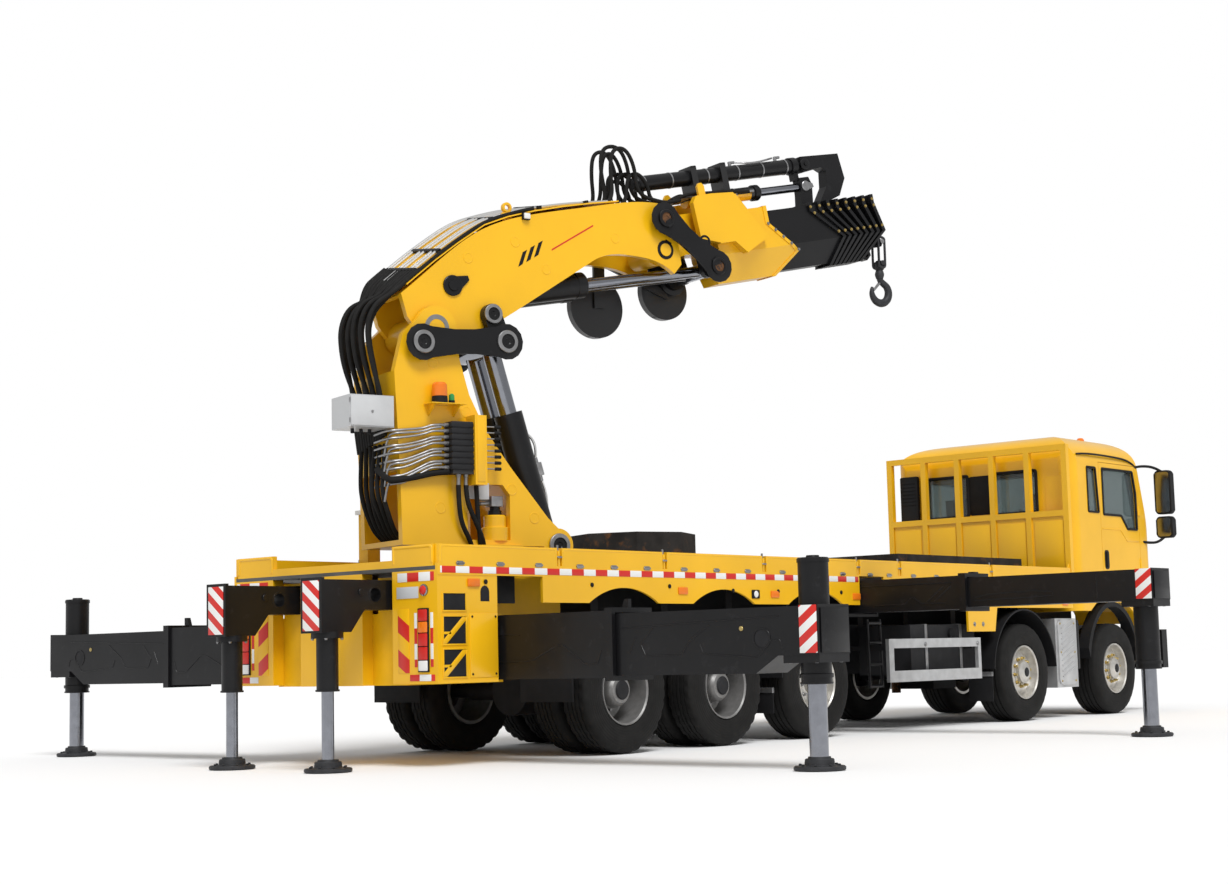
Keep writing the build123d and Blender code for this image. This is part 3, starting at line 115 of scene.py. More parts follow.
# %% one maker for all finishes
FINISH = {
    "yellow": ((0.88, 0.48, 0.006), 0.33, 0.0),
    "black": ((0.007, 0.007, 0.008), 0.42, 0.0),
    "rubber": ((0.011, 0.0105, 0.010), 0.75, 0.0),
    "rim": ((0.62, 0.60, 0.56), 0.38, 0.75),
    "rim_dark": ((0.26, 0.255, 0.25), 0.5, 0.6),
    "chrome": ((0.27, 0.28, 0.31), 0.14, 1.0),
    "silver": ((0.70, 0.70, 0.69), 0.28, 0.8),
    "steel": ((0.34, 0.34, 0.345), 0.38, 0.9),
    "foot": ((0.045, 0.046, 0.050), 0.55, 0.5),
    "grey": ((0.55, 0.56, 0.57), 0.45, 0.0),
    "aluminium": ((0.56, 0.565, 0.57), 0.42, 0.65),
    "dark": ((0.020, 0.020, 0.022), 0.6, 0.1),
    "plastic": ((0.010, 0.010, 0.011), 0.62, 0.0),
    "rust": ((0.17, 0.075, 0.028), 0.75, 0.35),
    "ballast": ((0.040, 0.036, 0.033), 0.78, 0.2),
    "brass": ((0.52, 0.40, 0.16), 0.36, 0.9),
    "red": ((0.62, 0.022, 0.015), 0.35, 0.0),
    "orange": ((0.85, 0.20, 0.01), 0.3, 0.0),
    "white": ((0.82, 0.82, 0.80), 0.4, 0.0),
    "green": ((0.03, 0.30, 0.08), 0.3, 0.0),
    "seat": ((0.06, 0.062, 0.068), 0.9, 0.0),
    "deck": ((0.11, 0.108, 0.10), 0.55, 0.3),
}


def direction(tree, origin, axis, square=False):
    """A node that measures Object coordinates along an axis from an origin."""
    point = tree.nodes.new("ShaderNodeTexCoord").outputs["Object"]
    move = tree.nodes.new("ShaderNodeVectorMath")
    move.operation = "SUBTRACT"
    move.inputs[1].default_value = origin
    tree.links.new(point, move.inputs[0])
    size = tree.nodes.new("ShaderNodeVectorMath")
    size.operation = "MULTIPLY" if square else "DOT_PRODUCT"
    size.inputs[1].default_value = axis
    tree.links.new(move.outputs["Vector"], size.inputs[0])
    if not square:
        return size.outputs["Value"]
    length = tree.nodes.new("ShaderNodeVectorMath")
    length.operation = "LENGTH"
    tree.links.new(size.outputs["Vector"], length.inputs[0])
    return length.outputs["Value"]


def math_node(tree, operation, *values):
    node = tree.nodes.new("ShaderNodeMath")
    node.operation = operation
    for n, value in enumerate(values):
        if isinstance(value, (int, float)):
            node.inputs[n].default_value = value
        else:
            tree.links.new(value, node.inputs[n])
    return node.outputs[0]


def zone_mask(tree, ranges):
    """One where every range holds; a range is an origin, an axis, a low and a high end."""
    mask = None
    for origin, axis, low, high, *way in ranges:
        value = direction(tree, origin, axis, "round" in way)
        if "both" in way:
            value = math_node(tree, "ABSOLUTE", value)
        inside = math_node(tree, "COMPARE", value, (low + high) / 2, (high - low) / 2)
        mask = inside if mask is None else math_node(tree, "MULTIPLY", mask, inside)
    return mask


def finish(name, base, zones=(), grain=6.0, drift=0.10, bump=0.02, fine=220.0, coat=0.0, wear=None):
    """A finish with drifting colour and roughness, zones and an optional worn colour."""
    material = bpy.data.materials.new(name)
    material.use_nodes = True
    tree = material.node_tree
    shader = tree.nodes["Principled BSDF"]
    colour, rough, metal = FINISH[base]
    shader.inputs["Metallic"].default_value = metal
    shader.inputs["Coat Weight"].default_value = coat
    shader.inputs["Coat Roughness"].default_value = 0.12
    shader.inputs["Specular IOR Level"].default_value = 0.22 if max(colour) < 0.05 else 0.45
    point = tree.nodes.new("ShaderNodeTexCoord").outputs["Object"]
    cloud = tree.nodes.new("ShaderNodeTexNoise")
    cloud.inputs["Scale"].default_value = grain
    cloud.inputs["Detail"].default_value = 5.0
    tree.links.new(point, cloud.inputs["Vector"])
    shade = tree.nodes.new("ShaderNodeMapRange")
    shade.inputs["From Min"].default_value = 0.3
    shade.inputs["From Max"].default_value = 0.7
    shade.inputs["To Min"].default_value = 1.0 - drift
    shade.inputs["To Max"].default_value = 1.0 + drift * 0.4
    tree.links.new(cloud.outputs["Fac"], shade.inputs["Value"])
    tone = tree.nodes.new("ShaderNodeCombineXYZ")
    for n in range(3):
        tree.links.new(shade.outputs["Result"], tone.inputs[n])
    colour_now, rough_now, metal_now = None, None, None
    for ranges, other in zones:
        mask = zone_mask(tree, ranges)
        c2, r2, m2 = FINISH[other]
        mix = tree.nodes.new("ShaderNodeMix")
        mix.data_type = "RGBA"
        tree.links.new(mask, mix.inputs["Factor"])
        if colour_now is None:
            mix.inputs[6].default_value = (*colour, 1)
        else:
            tree.links.new(colour_now, mix.inputs[6])
        mix.inputs[7].default_value = (*c2, 1)
        colour_now = mix.outputs[2]
        for key, one, two in (("rough", rough, r2), ("metal", metal, m2)):
            blend = tree.nodes.new("ShaderNodeMix")
            tree.links.new(mask, blend.inputs["Factor"])
            now = rough_now if key == "rough" else metal_now
            if now is None:
                blend.inputs[2].default_value = one
            else:
                tree.links.new(now, blend.inputs[2])
            blend.inputs[3].default_value = two
            if key == "rough":
                rough_now = blend.outputs[0]
            else:
                metal_now = blend.outputs[0]
    tint = tree.nodes.new("ShaderNodeMix")
    tint.data_type = "RGBA"
    tint.blend_type = "MULTIPLY"
    tint.inputs["Factor"].default_value = 1.0
    if colour_now is None:
        tint.inputs[6].default_value = (*colour, 1)
    else:
        tree.links.new(colour_now, tint.inputs[6])
    tree.links.new(tone.outputs["Vector"], tint.inputs[7])
    colour_now = tint.outputs[2]
    if wear:
        worn, low, high, size = wear
        patch = tree.nodes.new("ShaderNodeTexNoise")
        patch.inputs["Scale"].default_value = size
        patch.inputs["Detail"].default_value = 8.0
        patch.inputs["Roughness"].default_value = 0.7
        tree.links.new(point, patch.inputs["Vector"])
        edge = tree.nodes.new("ShaderNodeMapRange")
        edge.inputs["From Min"].default_value = low
        edge.inputs["From Max"].default_value = high
        tree.links.new(patch.outputs["Fac"], edge.inputs["Value"])
        stain = tree.nodes.new("ShaderNodeMix")
        stain.data_type = "RGBA"
        tree.links.new(edge.outputs["Result"], stain.inputs["Factor"])
        tree.links.new(colour_now, stain.inputs[6])
        stain.inputs[7].default_value = (*FINISH[worn][0], 1)
        colour_now = stain.outputs[2]
    tree.links.new(colour_now, shader.inputs["Base Color"])
    if metal_now is not None:
        tree.links.new(metal_now, shader.inputs["Metallic"])
    swing = math_node(tree, "MULTIPLY_ADD", cloud.outputs["Fac"], -0.14, 0.07)
    rough_sum = math_node(tree, "ADD", swing, rough if rough_now is None else rough_now)
    tree.links.new(rough_sum, shader.inputs["Roughness"])
    speck = tree.nodes.new("ShaderNodeTexNoise")
    speck.inputs["Scale"].default_value = fine
    speck.inputs["Detail"].default_value = 3.0
    tree.links.new(point, speck.inputs["Vector"])
    raised = tree.nodes.new("ShaderNodeBump")
    raised.inputs["Strength"].default_value = bump
    raised.inputs["Distance"].default_value = 0.004
    tree.links.new(speck.outputs["Fac"], raised.inputs["Height"])
    tree.links.new(raised.outputs["Normal"], shader.inputs["Normal"])
    return material


X, Y, Z = Vector((1, 0, 0)), Vector((0, 1, 0)), Vector((0, 0, 1))
O = Vector((0, 0, 0))
ENAMEL = {"grain": 1.6, "drift": 0.07, "coat": 0.35}
PAINT = {
    "yellow": finish("yellow_enamel", "yellow", **ENAMEL),
    "black": finish("black_enamel", "black", grain=3.0, drift=0.25, coat=0.15,
                    wear=("dark", 0.58, 0.75, 9.0)),
    "chrome": finish("hard_chrome", "chrome", grain=14.0, drift=0.06, bump=0.01),
    "silver": finish("bright_tube", "silver", grain=5.0, drift=0.05, bump=0.0),
    "steel": finish("zinc_steel", "steel", grain=20.0, drift=0.18),
    "grey": finish("light_grey_enamel", "grey", grain=4.0),
    "aluminium": finish("brushed_aluminium", "aluminium", grain=8.0, drift=0.12),
    "dark": finish("dark_grey_metal", "dark", grain=6.0, drift=0.3),
    "plastic": finish("moulded_black", "plastic", grain=9.0, drift=0.2, bump=0.05, fine=500.0),
    "rust": finish("rusty_pin", "rust", grain=30.0, drift=0.4, wear=("dark", 0.5, 0.62, 24.0), bump=0.12),
    "ballast": finish("cast_ballast", "ballast", grain=5.0, drift=0.45, wear=("rust", 0.56, 0.72, 7.0),
                      bump=0.2),
    "brass": finish("brass_bolt", "brass", grain=40.0, drift=0.2),
    "red": finish("red_lens", "red", grain=9.0, drift=0.08),
    "orange": finish("amber_lens", "orange", grain=9.0, drift=0.08),
    "white": finish("white_film", "white", grain=9.0, drift=0.06),
    "green": finish("green_lens", "green", grain=9.0, drift=0.08),
    "seat": finish("seat_cloth", "seat", grain=12.0, drift=0.2, bump=0.15, fine=900.0),
    "rubber": finish("hose_rubber", "rubber", grain=20.0, drift=0.2),
    "rim_dark": finish("grey_hub", "rim_dark", grain=16.0, drift=0.2),
    "rim": finish("silver_hub", "rim", grain=16.0, drift=0.2),
    "foot": finish("foot_steel", "foot", grain=14.0, drift=0.3),
}
print("finishes:", len(PAINT))


def dress(material, *names):
    """Put one finish on carried-over solids."""
    for name in names:
        piece = nodes[name]
        piece.data.materials.clear()
        piece.data.materials.append(material)


# %% [markdown]
# The solids now get their finishes. Plain ones take a single paint. The others take zones, measured
# in the truck's own directions or in the crane's.

# %% finishes of the truck and of the crane
side_names = [side for side, sign in SIDES]
dress(PAINT["yellow"], "cab_shell", "door_left", "door_right", "headboard", "body_sides")
dress(PAINT["black"], "lift_barrels", "knuckle_barrels", "lift_link", "lift_boom_link", "knuckle_link",
      "knuckle_boom_link", "tele_2", "tele_3", "tele_4")
dress(PAINT["black"], *[f"{e}_beam_{n}_{s}" for e in ("rear", "front") for n in (1, 2) for s in side_names])
dress(PAINT["black"], *[f"rear_arm_{s}" for s in side_names])
dress(PAINT["dark"], "axles", "engine", *[f"knuckle_{n}_{s}" for n in (1, 2) for s in side_names])
dress(PAINT["plastic"], "mudguards")
dress(PAINT["seat"], "cab_interior")
dress(PAINT["ballast"], "deck_ballast")
dress(PAINT["chrome"], "lift_rods", "knuckle_rods")
dress(finish("jack_rod_and_foot", "chrome", [([(O, Z, -0.1, 0.092)], "foot")], grain=12.0, drift=0.08),
      *[f"{k}_jack_{s}" for k in ("rear", "front", "arm") for s in side_names])
dress(finish("frame_paint", "black", [([(O, X, -9.0, -3.84)], "yellow")], grain=3.0, drift=0.15),
      "chassis_frame")
dress(finish("deck_plate", "deck", [([(O, Z, 1.57, 3.0)], "yellow")], grain=4.0, drift=0.35, bump=0.3,
             fine=60.0), "cargo_deck")
dress(finish("under_fittings", "dark", [
    ([(O, Y, 1.18, 1.4, "both"), (O, X, 0.2, 2.2)], "aluminium"),
    ([(O, X, 3.7, 4.5), (O, Y, 0.9, 1.4, "both")], "aluminium"),
], grain=8.0, drift=0.15), "underbody_fittings")
dress(finish("column_paint", "yellow", [
    ([(COLUMN, ALONG, -2.0, -0.985)], "grey"),
    ([(crane(*PIN["link_foot"]), Vector((1, 1, 1)), 0.0, 0.066, "round")], "steel"),
    ([(COLUMN, ALONG, -0.60, -0.297), (COLUMN, RIGHT, 0.40, 0.54)], "dark"),
], **ENAMEL), "column")
dress(finish("inner_boom_paint", "yellow", [([(COLUMN, RIGHT, -0.6, -0.391)], "black")], **ENAMEL),
      "inner_boom")
dress(finish("outer_boom_paint", "yellow", [
    ([(KNUCKLE, SQUARE, 0.463, 1.0), (KNUCKLE, RIGHT, -0.12, 0.12)], "black"),
    ([(KNUCKLE, BOOM, 1.35, 2.0), (KNUCKLE, SQUARE, 0.35, 1.0)], "black"),
], **ENAMEL), "outer_boom")
dress(finish("first_telescope", "black", [
    ([(KNUCKLE, SQUARE, 0.42, 0.52), (KNUCKLE, RIGHT, -0.05, 0.05), (KNUCKLE, BOOM, 0.8, 1.985)], "chrome"),
], grain=3.0, drift=0.2, coat=0.15), "tele_1")
dress(finish("forged_hook", "foot", grain=18.0, drift=0.35, bump=0.15), "hook")
print("dressed all but the wheels and the glass")

# %% [markdown]
# Glass is a thin tinted pane: a transmissive shader with little roughness and a grey-green base.

# %% cab glass
pane = bpy.data.materials.new("tinted_glass")
pane.use_nodes = True
pane_shader = pane.node_tree.nodes["Principled BSDF"]
pane_shader.inputs["Base Color"].default_value = (0.30, 0.36, 0.36, 1)
pane_shader.inputs["Roughness"].default_value = 0.04
pane_shader.inputs["Transmission Weight"].default_value = 0.85
pane_shader.inputs["IOR"].default_value = 1.45
dress(pane, "cab_glass")
print("glass panes dressed")

# %% [markdown]
# A wheel's solid holds a tyre and a rim on one body. Its finish measures the distance from the axle:
# outside the rim's edge it is rubber, with rings pressed in the sidewall and grooves round the tread,
# and inside it is painted steel. The pattern reads the wheel's own centre, so it turns with it.

# %% tyres and rims
AXLE_X = (5.275, 3.075, -0.975, -2.425, -3.825)
AXLE_Z = 0.54
RIM_EDGE, WALL_MIDDLE, WALL_HALF, TREAD_EDGE = 0.298, 0.40, 0.09, 0.528
RING_WAVES, GROOVE_WAVES, GROOVE_SHARE = 260.0, 92.0, 0.80
ROUND_Y = Vector((1, 0, 1))


def tyre_finish(name, centre, hub):
    """Rubber with sidewall rings and tread grooves outside the rim's edge, the hub's finish inside."""
    zones = [([(centre, ROUND_Y, 0.0, RIM_EDGE, "round")], hub)]
    material = finish(name, "rubber", zones, grain=10.0, drift=0.25)
    tree = material.node_tree
    shader = tree.nodes["Principled BSDF"]
    radius = direction(tree, centre, ROUND_Y, True)
    across = direction(tree, centre, Y)
    rings = math_node(tree, "SINE", math_node(tree, "MULTIPLY", radius, RING_WAVES))
    wall = math_node(tree, "COMPARE", radius, WALL_MIDDLE, WALL_HALF)
    waves = math_node(tree, "SINE", math_node(tree, "MULTIPLY", across, GROOVE_WAVES))
    groove = math_node(tree, "GREATER_THAN", waves, GROOVE_SHARE)
    tread = math_node(tree, "GREATER_THAN", radius, TREAD_EDGE)
    wall_rings = math_node(tree, "MULTIPLY", math_node(tree, "MULTIPLY", rings, wall), 0.06)
    height = math_node(tree, "SUBTRACT", wall_rings, math_node(tree, "MULTIPLY", groove, tread))
    raised = tree.nodes.new("ShaderNodeBump")
    raised.inputs["Strength"].default_value = 0.9
    raised.inputs["Distance"].default_value = 0.012
    tree.links.new(height, raised.inputs["Height"])
    tree.links.new(raised.outputs["Normal"], shader.inputs["Normal"])
    return material


for number, x in enumerate(AXLE_X, start=1):
    for side in side_names:
        low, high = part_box(f"wheel_{number}_{side}")
        centre = Vector((x, (low[1] + high[1]) / 2, AXLE_Z))
        hub = "rim" if number < 4 else "rim_dark"
        dress(tyre_finish(f"tyre_{number}_{side}", centre, hub), f"wheel_{number}_{side}")
print("ten wheels dressed")

# %% [markdown]
# Fittings are drawn with one small helper. A Piece collects blocks, rods, plates and turned forms in
# the truck's frame, gives every face a paint, and at the end becomes one mesh that rides on a body.
# Edges get a narrow round so that they catch the light, as a bent or ground edge does.


class Piece:
    def __init__(self, name, body):
        self.name, self.body, self.mesh, self.keys = name, body, bmesh.new(), []

    def paint(self, faces, key):
        if key not in self.keys:
            self.keys.append(key)
        for face in faces:
            face.material_index = self.keys.index(key)

    def added(self, before, key):
        self.paint([face for face in self.mesh.faces if face not in before], key)

    def block(self, low, high, key, edge=0.0, origin=O, axes=(X, Y, Z)):
        """A box between two corners, measured from an origin along three axes."""
        ends = (low, high)
        squares = [[(0, 0, top), (1, 0, top), (1, 1, top), (0, 1, top)] for top in (0, 1)]
        corner = [[origin + sum((axes[n] * ends[pick[n]][n] for n in range(3)), Vector()) for pick in square]
                  for square in squares]
        self.prism(corner[0], corner[1][0] - corner[0][0], key, edge)

    def side_block(self, sign, low, high, key, edge=0.0):
        """A box given for the truck's left side, kept there or mirrored to the right."""
        near, far = sorted((sign * low[1], sign * high[1]))
        self.block((low[0], near, low[2]), (high[0], far, high[2]), key, edge)

    def side_sheet(self, sign, y, outline, thick, key, edge=0.0):
        """A sheet with an (x, z) outline on one side of the truck, made thick outwards."""
        self.prism([(p, sign * y, q) for p, q in outline], Vector((0, sign * thick, 0)), key, edge)

    def cross_sheet(self, x, outline, thick, key, edge=0.0, sign=1):
        """A sheet with a (y, z) outline across the truck, made thick forwards."""
        self.prism([(x, sign * p, q) for p, q in outline], Vector((thick, 0, 0)), key, edge)

    def prism(self, outline, depth, key, edge=0.0):
        """A flat outline pushed along a vector."""
        before = set(self.mesh.faces)
        one = [self.mesh.verts.new(point) for point in outline]
        two = [self.mesh.verts.new(Vector(point) + depth) for point in outline]
        made = [self.mesh.faces.new(one), self.mesh.faces.new(list(reversed(two)))]
        for n in range(len(one)):
            m = (n + 1) % len(one)
            made.append(self.mesh.faces.new((one[m], one[n], two[n], two[m])))
        if edge:
            edges = list({e for face in made for e in face.edges})
            bmesh.ops.bevel(self.mesh, geom=edges, offset=edge, segments=2, affect="EDGES", profile=0.5)
        self.added(before, key)

    def turn(self, centre, axis, profile, key, sides=32):
        """A form turned round an axis from (distance along, radius) pairs; a zero radius closes it."""
        before = set(self.mesh.faces)
        axis = Vector(axis).normalized()
        side = axis.orthogonal().normalized()
        other = axis.cross(side)
        rings = []
        for along, radius in profile:
            mid = Vector(centre) + axis * along
            if radius <= 1e-6:
                rings.append([self.mesh.verts.new(mid)])
            else:
                rings.append([self.mesh.verts.new(mid + (side * math.cos(a) + other * math.sin(a)) * radius)
                              for a in (math.tau * n / sides for n in range(sides))])
        for one, two in zip(rings, rings[1:]):
            for n in range(sides):
                m = (n + 1) % sides
                loop = [one[n % len(one)], one[m % len(one)], two[m % len(two)], two[n % len(two)]]
                loop = [v for i, v in enumerate(loop) if v not in loop[:i]]
                if len(loop) > 2:
                    self.mesh.faces.new(loop)
        self.added(before, key)

    def rod(self, start, stop, radius, key, sides=20, edge=0.003):
        """A round bar with its rims broken."""
        start, stop = Vector(start), Vector(stop)
        long = (stop - start).length
        edge = min(edge, radius / 3, long / 3)
        self.turn(start, stop - start, [(0, 0), (0, radius - edge), (edge, radius), (long - edge, radius),
                                        (long, radius - edge), (long, 0)], key, sides)

    def ring(self, centre, axis, outside, inside, thick, key, sides=32, edge=0.003):
        """A flat ring that stands on its centre and rises along the axis."""
        self.turn(centre, axis, [(0, inside), (0, outside), (thick - edge, outside), (thick, outside - edge),
                                 (thick, inside), (0, inside)], key, sides)

    def done(self, *stands_for):
        bmesh.ops.remove_doubles(self.mesh, verts=self.mesh.verts, dist=0.00002)
        bmesh.ops.recalc_face_normals(self.mesh, faces=self.mesh.faces)
        data = bpy.data.meshes.new(self.name)
        self.mesh.to_mesh(data)
        self.mesh.free()
        for key in self.keys:
            data.materials.append(PAINT[key] if key in PAINT else EXTRA[key])
        return settle(data, self.name, self.body, self.keys[0], *stands_for)


EXTRA = {}


def settle(data, name, body, key, *stands_for, bend=None):
    """Turn a mesh into a finished piece on its body, or, when bend is given, bake it in place on no body."""
    for face in data.polygons:
        face.use_smooth = True
    data.set_sharp_from_angle(angle=math.radians(32))
    piece = bpy.data.objects.new(name, data)
    bpy.context.collection.objects.link(piece)
    if bend:
        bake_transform(piece)
    else:
        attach(piece, body)
    if stands_for:
        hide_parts(*stands_for)
    print(name, "on", body, "faces", len(data.polygons))
    return piece


# %% [markdown]
# Pipes, hoses held by clamps and rolled rims all follow a line. A curve with a round bevel makes
# them: each route is one smooth spline, and all routes on a body become one mesh.

# %% pipes along routes
def pipes(name, body, routes, radius, key, closed=False, sides=3, order=3, bend=None, swell=None):
    curve = bpy.data.curves.new(name, "CURVE")
    curve.dimensions = "3D"
    curve.bevel_depth = radius
    curve.bevel_resolution = sides
    curve.resolution_u = 6
    curve.use_fill_caps = True
    for route in routes:
        line = curve.splines.new("NURBS")
        line.points.add(len(route) - 1)
        for point, place in zip(line.points, route):
            point.co = (*place, 1)
        for point, wide in zip(line.points, swell or ()):
            point.radius = wide
        line.order_u = order
        line.use_endpoint_u = not closed
        line.use_cyclic_u = closed
    holder = bpy.data.objects.new(name, curve)
    bpy.context.collection.objects.link(holder)
    data = bpy.data.meshes.new_from_object(holder.evaluated_get(bpy.context.evaluated_depsgraph_get()))
    bpy.data.objects.remove(holder)
    data.materials.clear()
    data.materials.append(PAINT[key])
    return settle(data, name, body, key, bend=bend)


# %% [markdown]
# Bolt heads, nuts and plugs repeat by the dozen. A Geometry Nodes tree puts a head with its washer on
# every point of a small cloud, turned along the point's own axis. Each point is placed by a rule.

# %% bolt heads on points
def bolt_tree():
    tree = bpy.data.node_groups.new("bolt heads on points", "GeometryNodeTree")
    sockets = {}
    tree.interface.new_socket("Geometry", in_out="INPUT", socket_type="NodeSocketGeometry")
    for label, kind in (("Head radius", "NodeSocketFloat"), ("Head height", "NodeSocketFloat"),
                        ("Sides", "NodeSocketInt"), ("Washer", "NodeSocketFloat"),
                        ("Finish", "NodeSocketMaterial")):
        sockets[label] = tree.interface.new_socket(label, in_out="INPUT", socket_type=kind).identifier
    tree.interface.new_socket("Geometry", in_out="OUTPUT", socket_type="NodeSocketGeometry")
    given = tree.nodes.new("NodeGroupInput")
    result = tree.nodes.new("NodeGroupOutput")
    parts = tree.nodes.new("GeometryNodeJoinGeometry")
    for wide, tall in (("Head radius", 1.0), ("Washer", 0.28)):
        form = tree.nodes.new("GeometryNodeMeshCylinder")
        height = tree.nodes.new("ShaderNodeMath")
        height.operation = "MULTIPLY"
        height.inputs[1].default_value = tall
        lift = tree.nodes.new("ShaderNodeCombineXYZ")
        half = tree.nodes.new("ShaderNodeMath")
        half.operation = "MULTIPLY"
        half.inputs[1].default_value = 0.5
        move = tree.nodes.new("GeometryNodeTransform")
        tree.links.new(given.outputs[wide], form.inputs["Radius"])
        tree.links.new(given.outputs["Head height"], height.inputs[0])
        tree.links.new(height.outputs[0], form.inputs["Depth"])
        tree.links.new(height.outputs[0], half.inputs[0])
        tree.links.new(half.outputs[0], lift.inputs["Z"])
        tree.links.new(lift.outputs[0], move.inputs["Translation"])
        if wide == "Head radius":
            tree.links.new(given.outputs["Sides"], form.inputs["Vertices"])
        else:
            form.inputs["Vertices"].default_value = 14
        tree.links.new(form.outputs["Mesh"], move.inputs["Geometry"])
        tree.links.new(move.outputs["Geometry"], parts.inputs["Geometry"])
    way = tree.nodes.new("GeometryNodeInputNamedAttribute")
    way.data_type = "FLOAT_VECTOR"
    way.inputs["Name"].default_value = "axis"
    turn = tree.nodes.new("FunctionNodeAlignRotationToVector")
    turn.axis = "Z"
    tree.links.new(way.outputs["Attribute"], turn.inputs["Vector"])
    put = tree.nodes.new("GeometryNodeInstanceOnPoints")
    tree.links.new(given.outputs["Geometry"], put.inputs["Points"])
    tree.links.new(parts.outputs["Geometry"], put.inputs["Instance"])
    tree.links.new(turn.outputs["Rotation"], put.inputs["Rotation"])
    solid = tree.nodes.new("GeometryNodeRealizeInstances")
    coat = tree.nodes.new("GeometryNodeSetMaterial")
    tree.links.new(put.outputs["Instances"], solid.inputs["Geometry"])
    tree.links.new(solid.outputs["Geometry"], coat.inputs["Geometry"])
    tree.links.new(given.outputs["Finish"], coat.inputs["Material"])
    tree.links.new(coat.outputs["Geometry"], result.inputs["Geometry"])
    return tree, sockets


BOLT_TREE, BOLT_SOCKET = bolt_tree()


def bolts(name, body, spots, radius, height, key, sides=6, washer=1.35):
    """Bolt heads at (place, axis) spots."""
    cloud = bpy.data.meshes.new(name)
    cloud.from_pydata([tuple(place) for place, axis in spots], [], [])
    axes = cloud.attributes.new("axis", "FLOAT_VECTOR", "POINT")
    for n, (place, axis) in enumerate(spots):
        axes.data[n].vector = Vector(axis).normalized()
    holder = bpy.data.objects.new(name, cloud)
    bpy.context.collection.objects.link(holder)
    studs = holder.modifiers.new("bolts", "NODES")
    studs.node_group = BOLT_TREE
    studs[BOLT_SOCKET["Head radius"]] = radius
    studs[BOLT_SOCKET["Head height"]] = height
    studs[BOLT_SOCKET["Sides"]] = sides
    studs[BOLT_SOCKET["Washer"]] = radius * washer
    studs[BOLT_SOCKET["Finish"]] = PAINT[key]
    data = bpy.data.meshes.new_from_object(holder.evaluated_get(bpy.context.evaluated_depsgraph_get()))
    bpy.data.objects.remove(holder)
    data.materials.clear()
    data.materials.append(PAINT[key])
    return settle(data, name, body, key)


def circle_spots(centre, axis, radius, count, start=0.0):
    """Spots evenly round a circle."""
    axis = Vector(axis).normalized()
    side = axis.orthogonal().normalized()
    other = axis.cross(side)
    return [(Vector(centre) + (side * math.cos(a) + other * math.sin(a)) * radius, axis)
            for a in (start + math.tau * n / count for n in range(count))]

# %% [markdown]
# The wheels get their own turned meshes, which stand for the plain solids. A tyre's section is drawn
# once: beads, a bulging wall, a shoulder and a tread with grooves round it. Every few steps round the
# circle the shoulder and the ribs are cut back, which gives the blocks of a truck tyre. The rim is
# turned too: dished and drum-like on the drive axles, with a hub that stands out on the others.

# %% tyre sections and rims
SINGLE_WIDE, TWIN_WIDE, TWIN_GAP = 0.385, 0.295, 0.045


def tyre_section(width):
    """(across, radius, kind) points from one bead to the other; kind says how a block step cuts."""
    half = [(-0.40, 0.300, ""), (-0.455, 0.318, ""), (-0.492, 0.372, ""), (-0.50, 0.42, ""),
            (-0.492, 0.462, ""), (-0.472, 0.498, "wall"), (-0.44, 0.524, "block"), (-0.385, 0.537, "block"),
            (-0.245, 0.5395, "rib"), (-0.24, 0.526, ""), (-0.205, 0.526, ""), (-0.20, 0.540, "rib"),
            (-0.085, 0.540, "rib"), (-0.08, 0.526, ""), (-0.045, 0.526, ""), (-0.04, 0.540, "")]
    return [(a * width, r, k) for a, r, k in half] + [(-a * width, r, k) for a, r, k in reversed(half)]


def add_tyre(piece, centre, out, width, drive, steps=96):
    """A tyre whose shoulder and ribs are cut back at every third step round the circle."""
    section = tyre_section(width)
    before = set(piece.mesh.faces)
    cut = {"block": 0.013 if drive else 0.003, "wall": 0.006 if drive else 0.0}
    rib_cut = {"rib": 0.010 if drive else 0.0}
    rings = []
    for n in range(steps):
        turn = math.tau * n / steps
        spoke = Vector((math.cos(turn), 0, math.sin(turn)))
        cuts = {0: cut, 2: rib_cut}.get(n % 3, {})
        rings.append([piece.mesh.verts.new(centre + out * across + spoke * (radius - cuts.get(kind, 0.0)))
                      for across, radius, kind in section])
    for n in range(steps):
        one, two = rings[n], rings[(n + 1) % steps]
        for m in range(len(section)):
            k = (m + 1) % len(section)
            piece.mesh.faces.new((one[m], one[k], two[k], two[m]))
    piece.added(before, piece.tyre_key)


single_well = [(-0.17, 0.268), (-0.17, 0.297), (-0.155, 0.300), (-0.15, 0.288), (0.14, 0.288), (0.158, 0.300),
               (0.174, 0.299), (0.177, 0.292), (0.165, 0.280)]
hub_rim = single_well + [
    (0.10, 0.270), (0.075, 0.262), (0.088, 0.235), (0.108, 0.205), (0.118, 0.180), (0.119, 0.138),
    (0.128, 0.130), (0.165, 0.124), (0.176, 0.098), (0.182, 0.092), (0.191, 0.060), (0.193, 0.0)]
steel_rim = single_well + [
    (0.09, 0.274), (0.045, 0.266), (0.052, 0.24), (0.070, 0.205), (0.082, 0.19), (0.084, 0.150),
    (0.098, 0.128), (0.150, 0.118), (0.162, 0.104), (0.165, 0.0)]
twin_rim = [
    (-0.30, 0.268), (-0.30, 0.297), (-0.285, 0.300), (-0.28, 0.288), (0.27, 0.288), (0.289, 0.300),
    (0.304, 0.299), (0.306, 0.292), (0.294, 0.281), (0.10, 0.272), (0.040, 0.268), (0.030, 0.255),
    (0.024, 0.212), (0.022, 0.168), (0.050, 0.162), (0.130, 0.158), (0.145, 0.146), (0.215, 0.140),
    (0.232, 0.128), (0.250, 0.112), (0.262, 0.06), (0.266, 0.0)]
hub_cap = [(0.119, 0.10), (0.176, 0.096), (0.186, 0.066), (0.1925, 0.05), (0.1935, 0.0)]
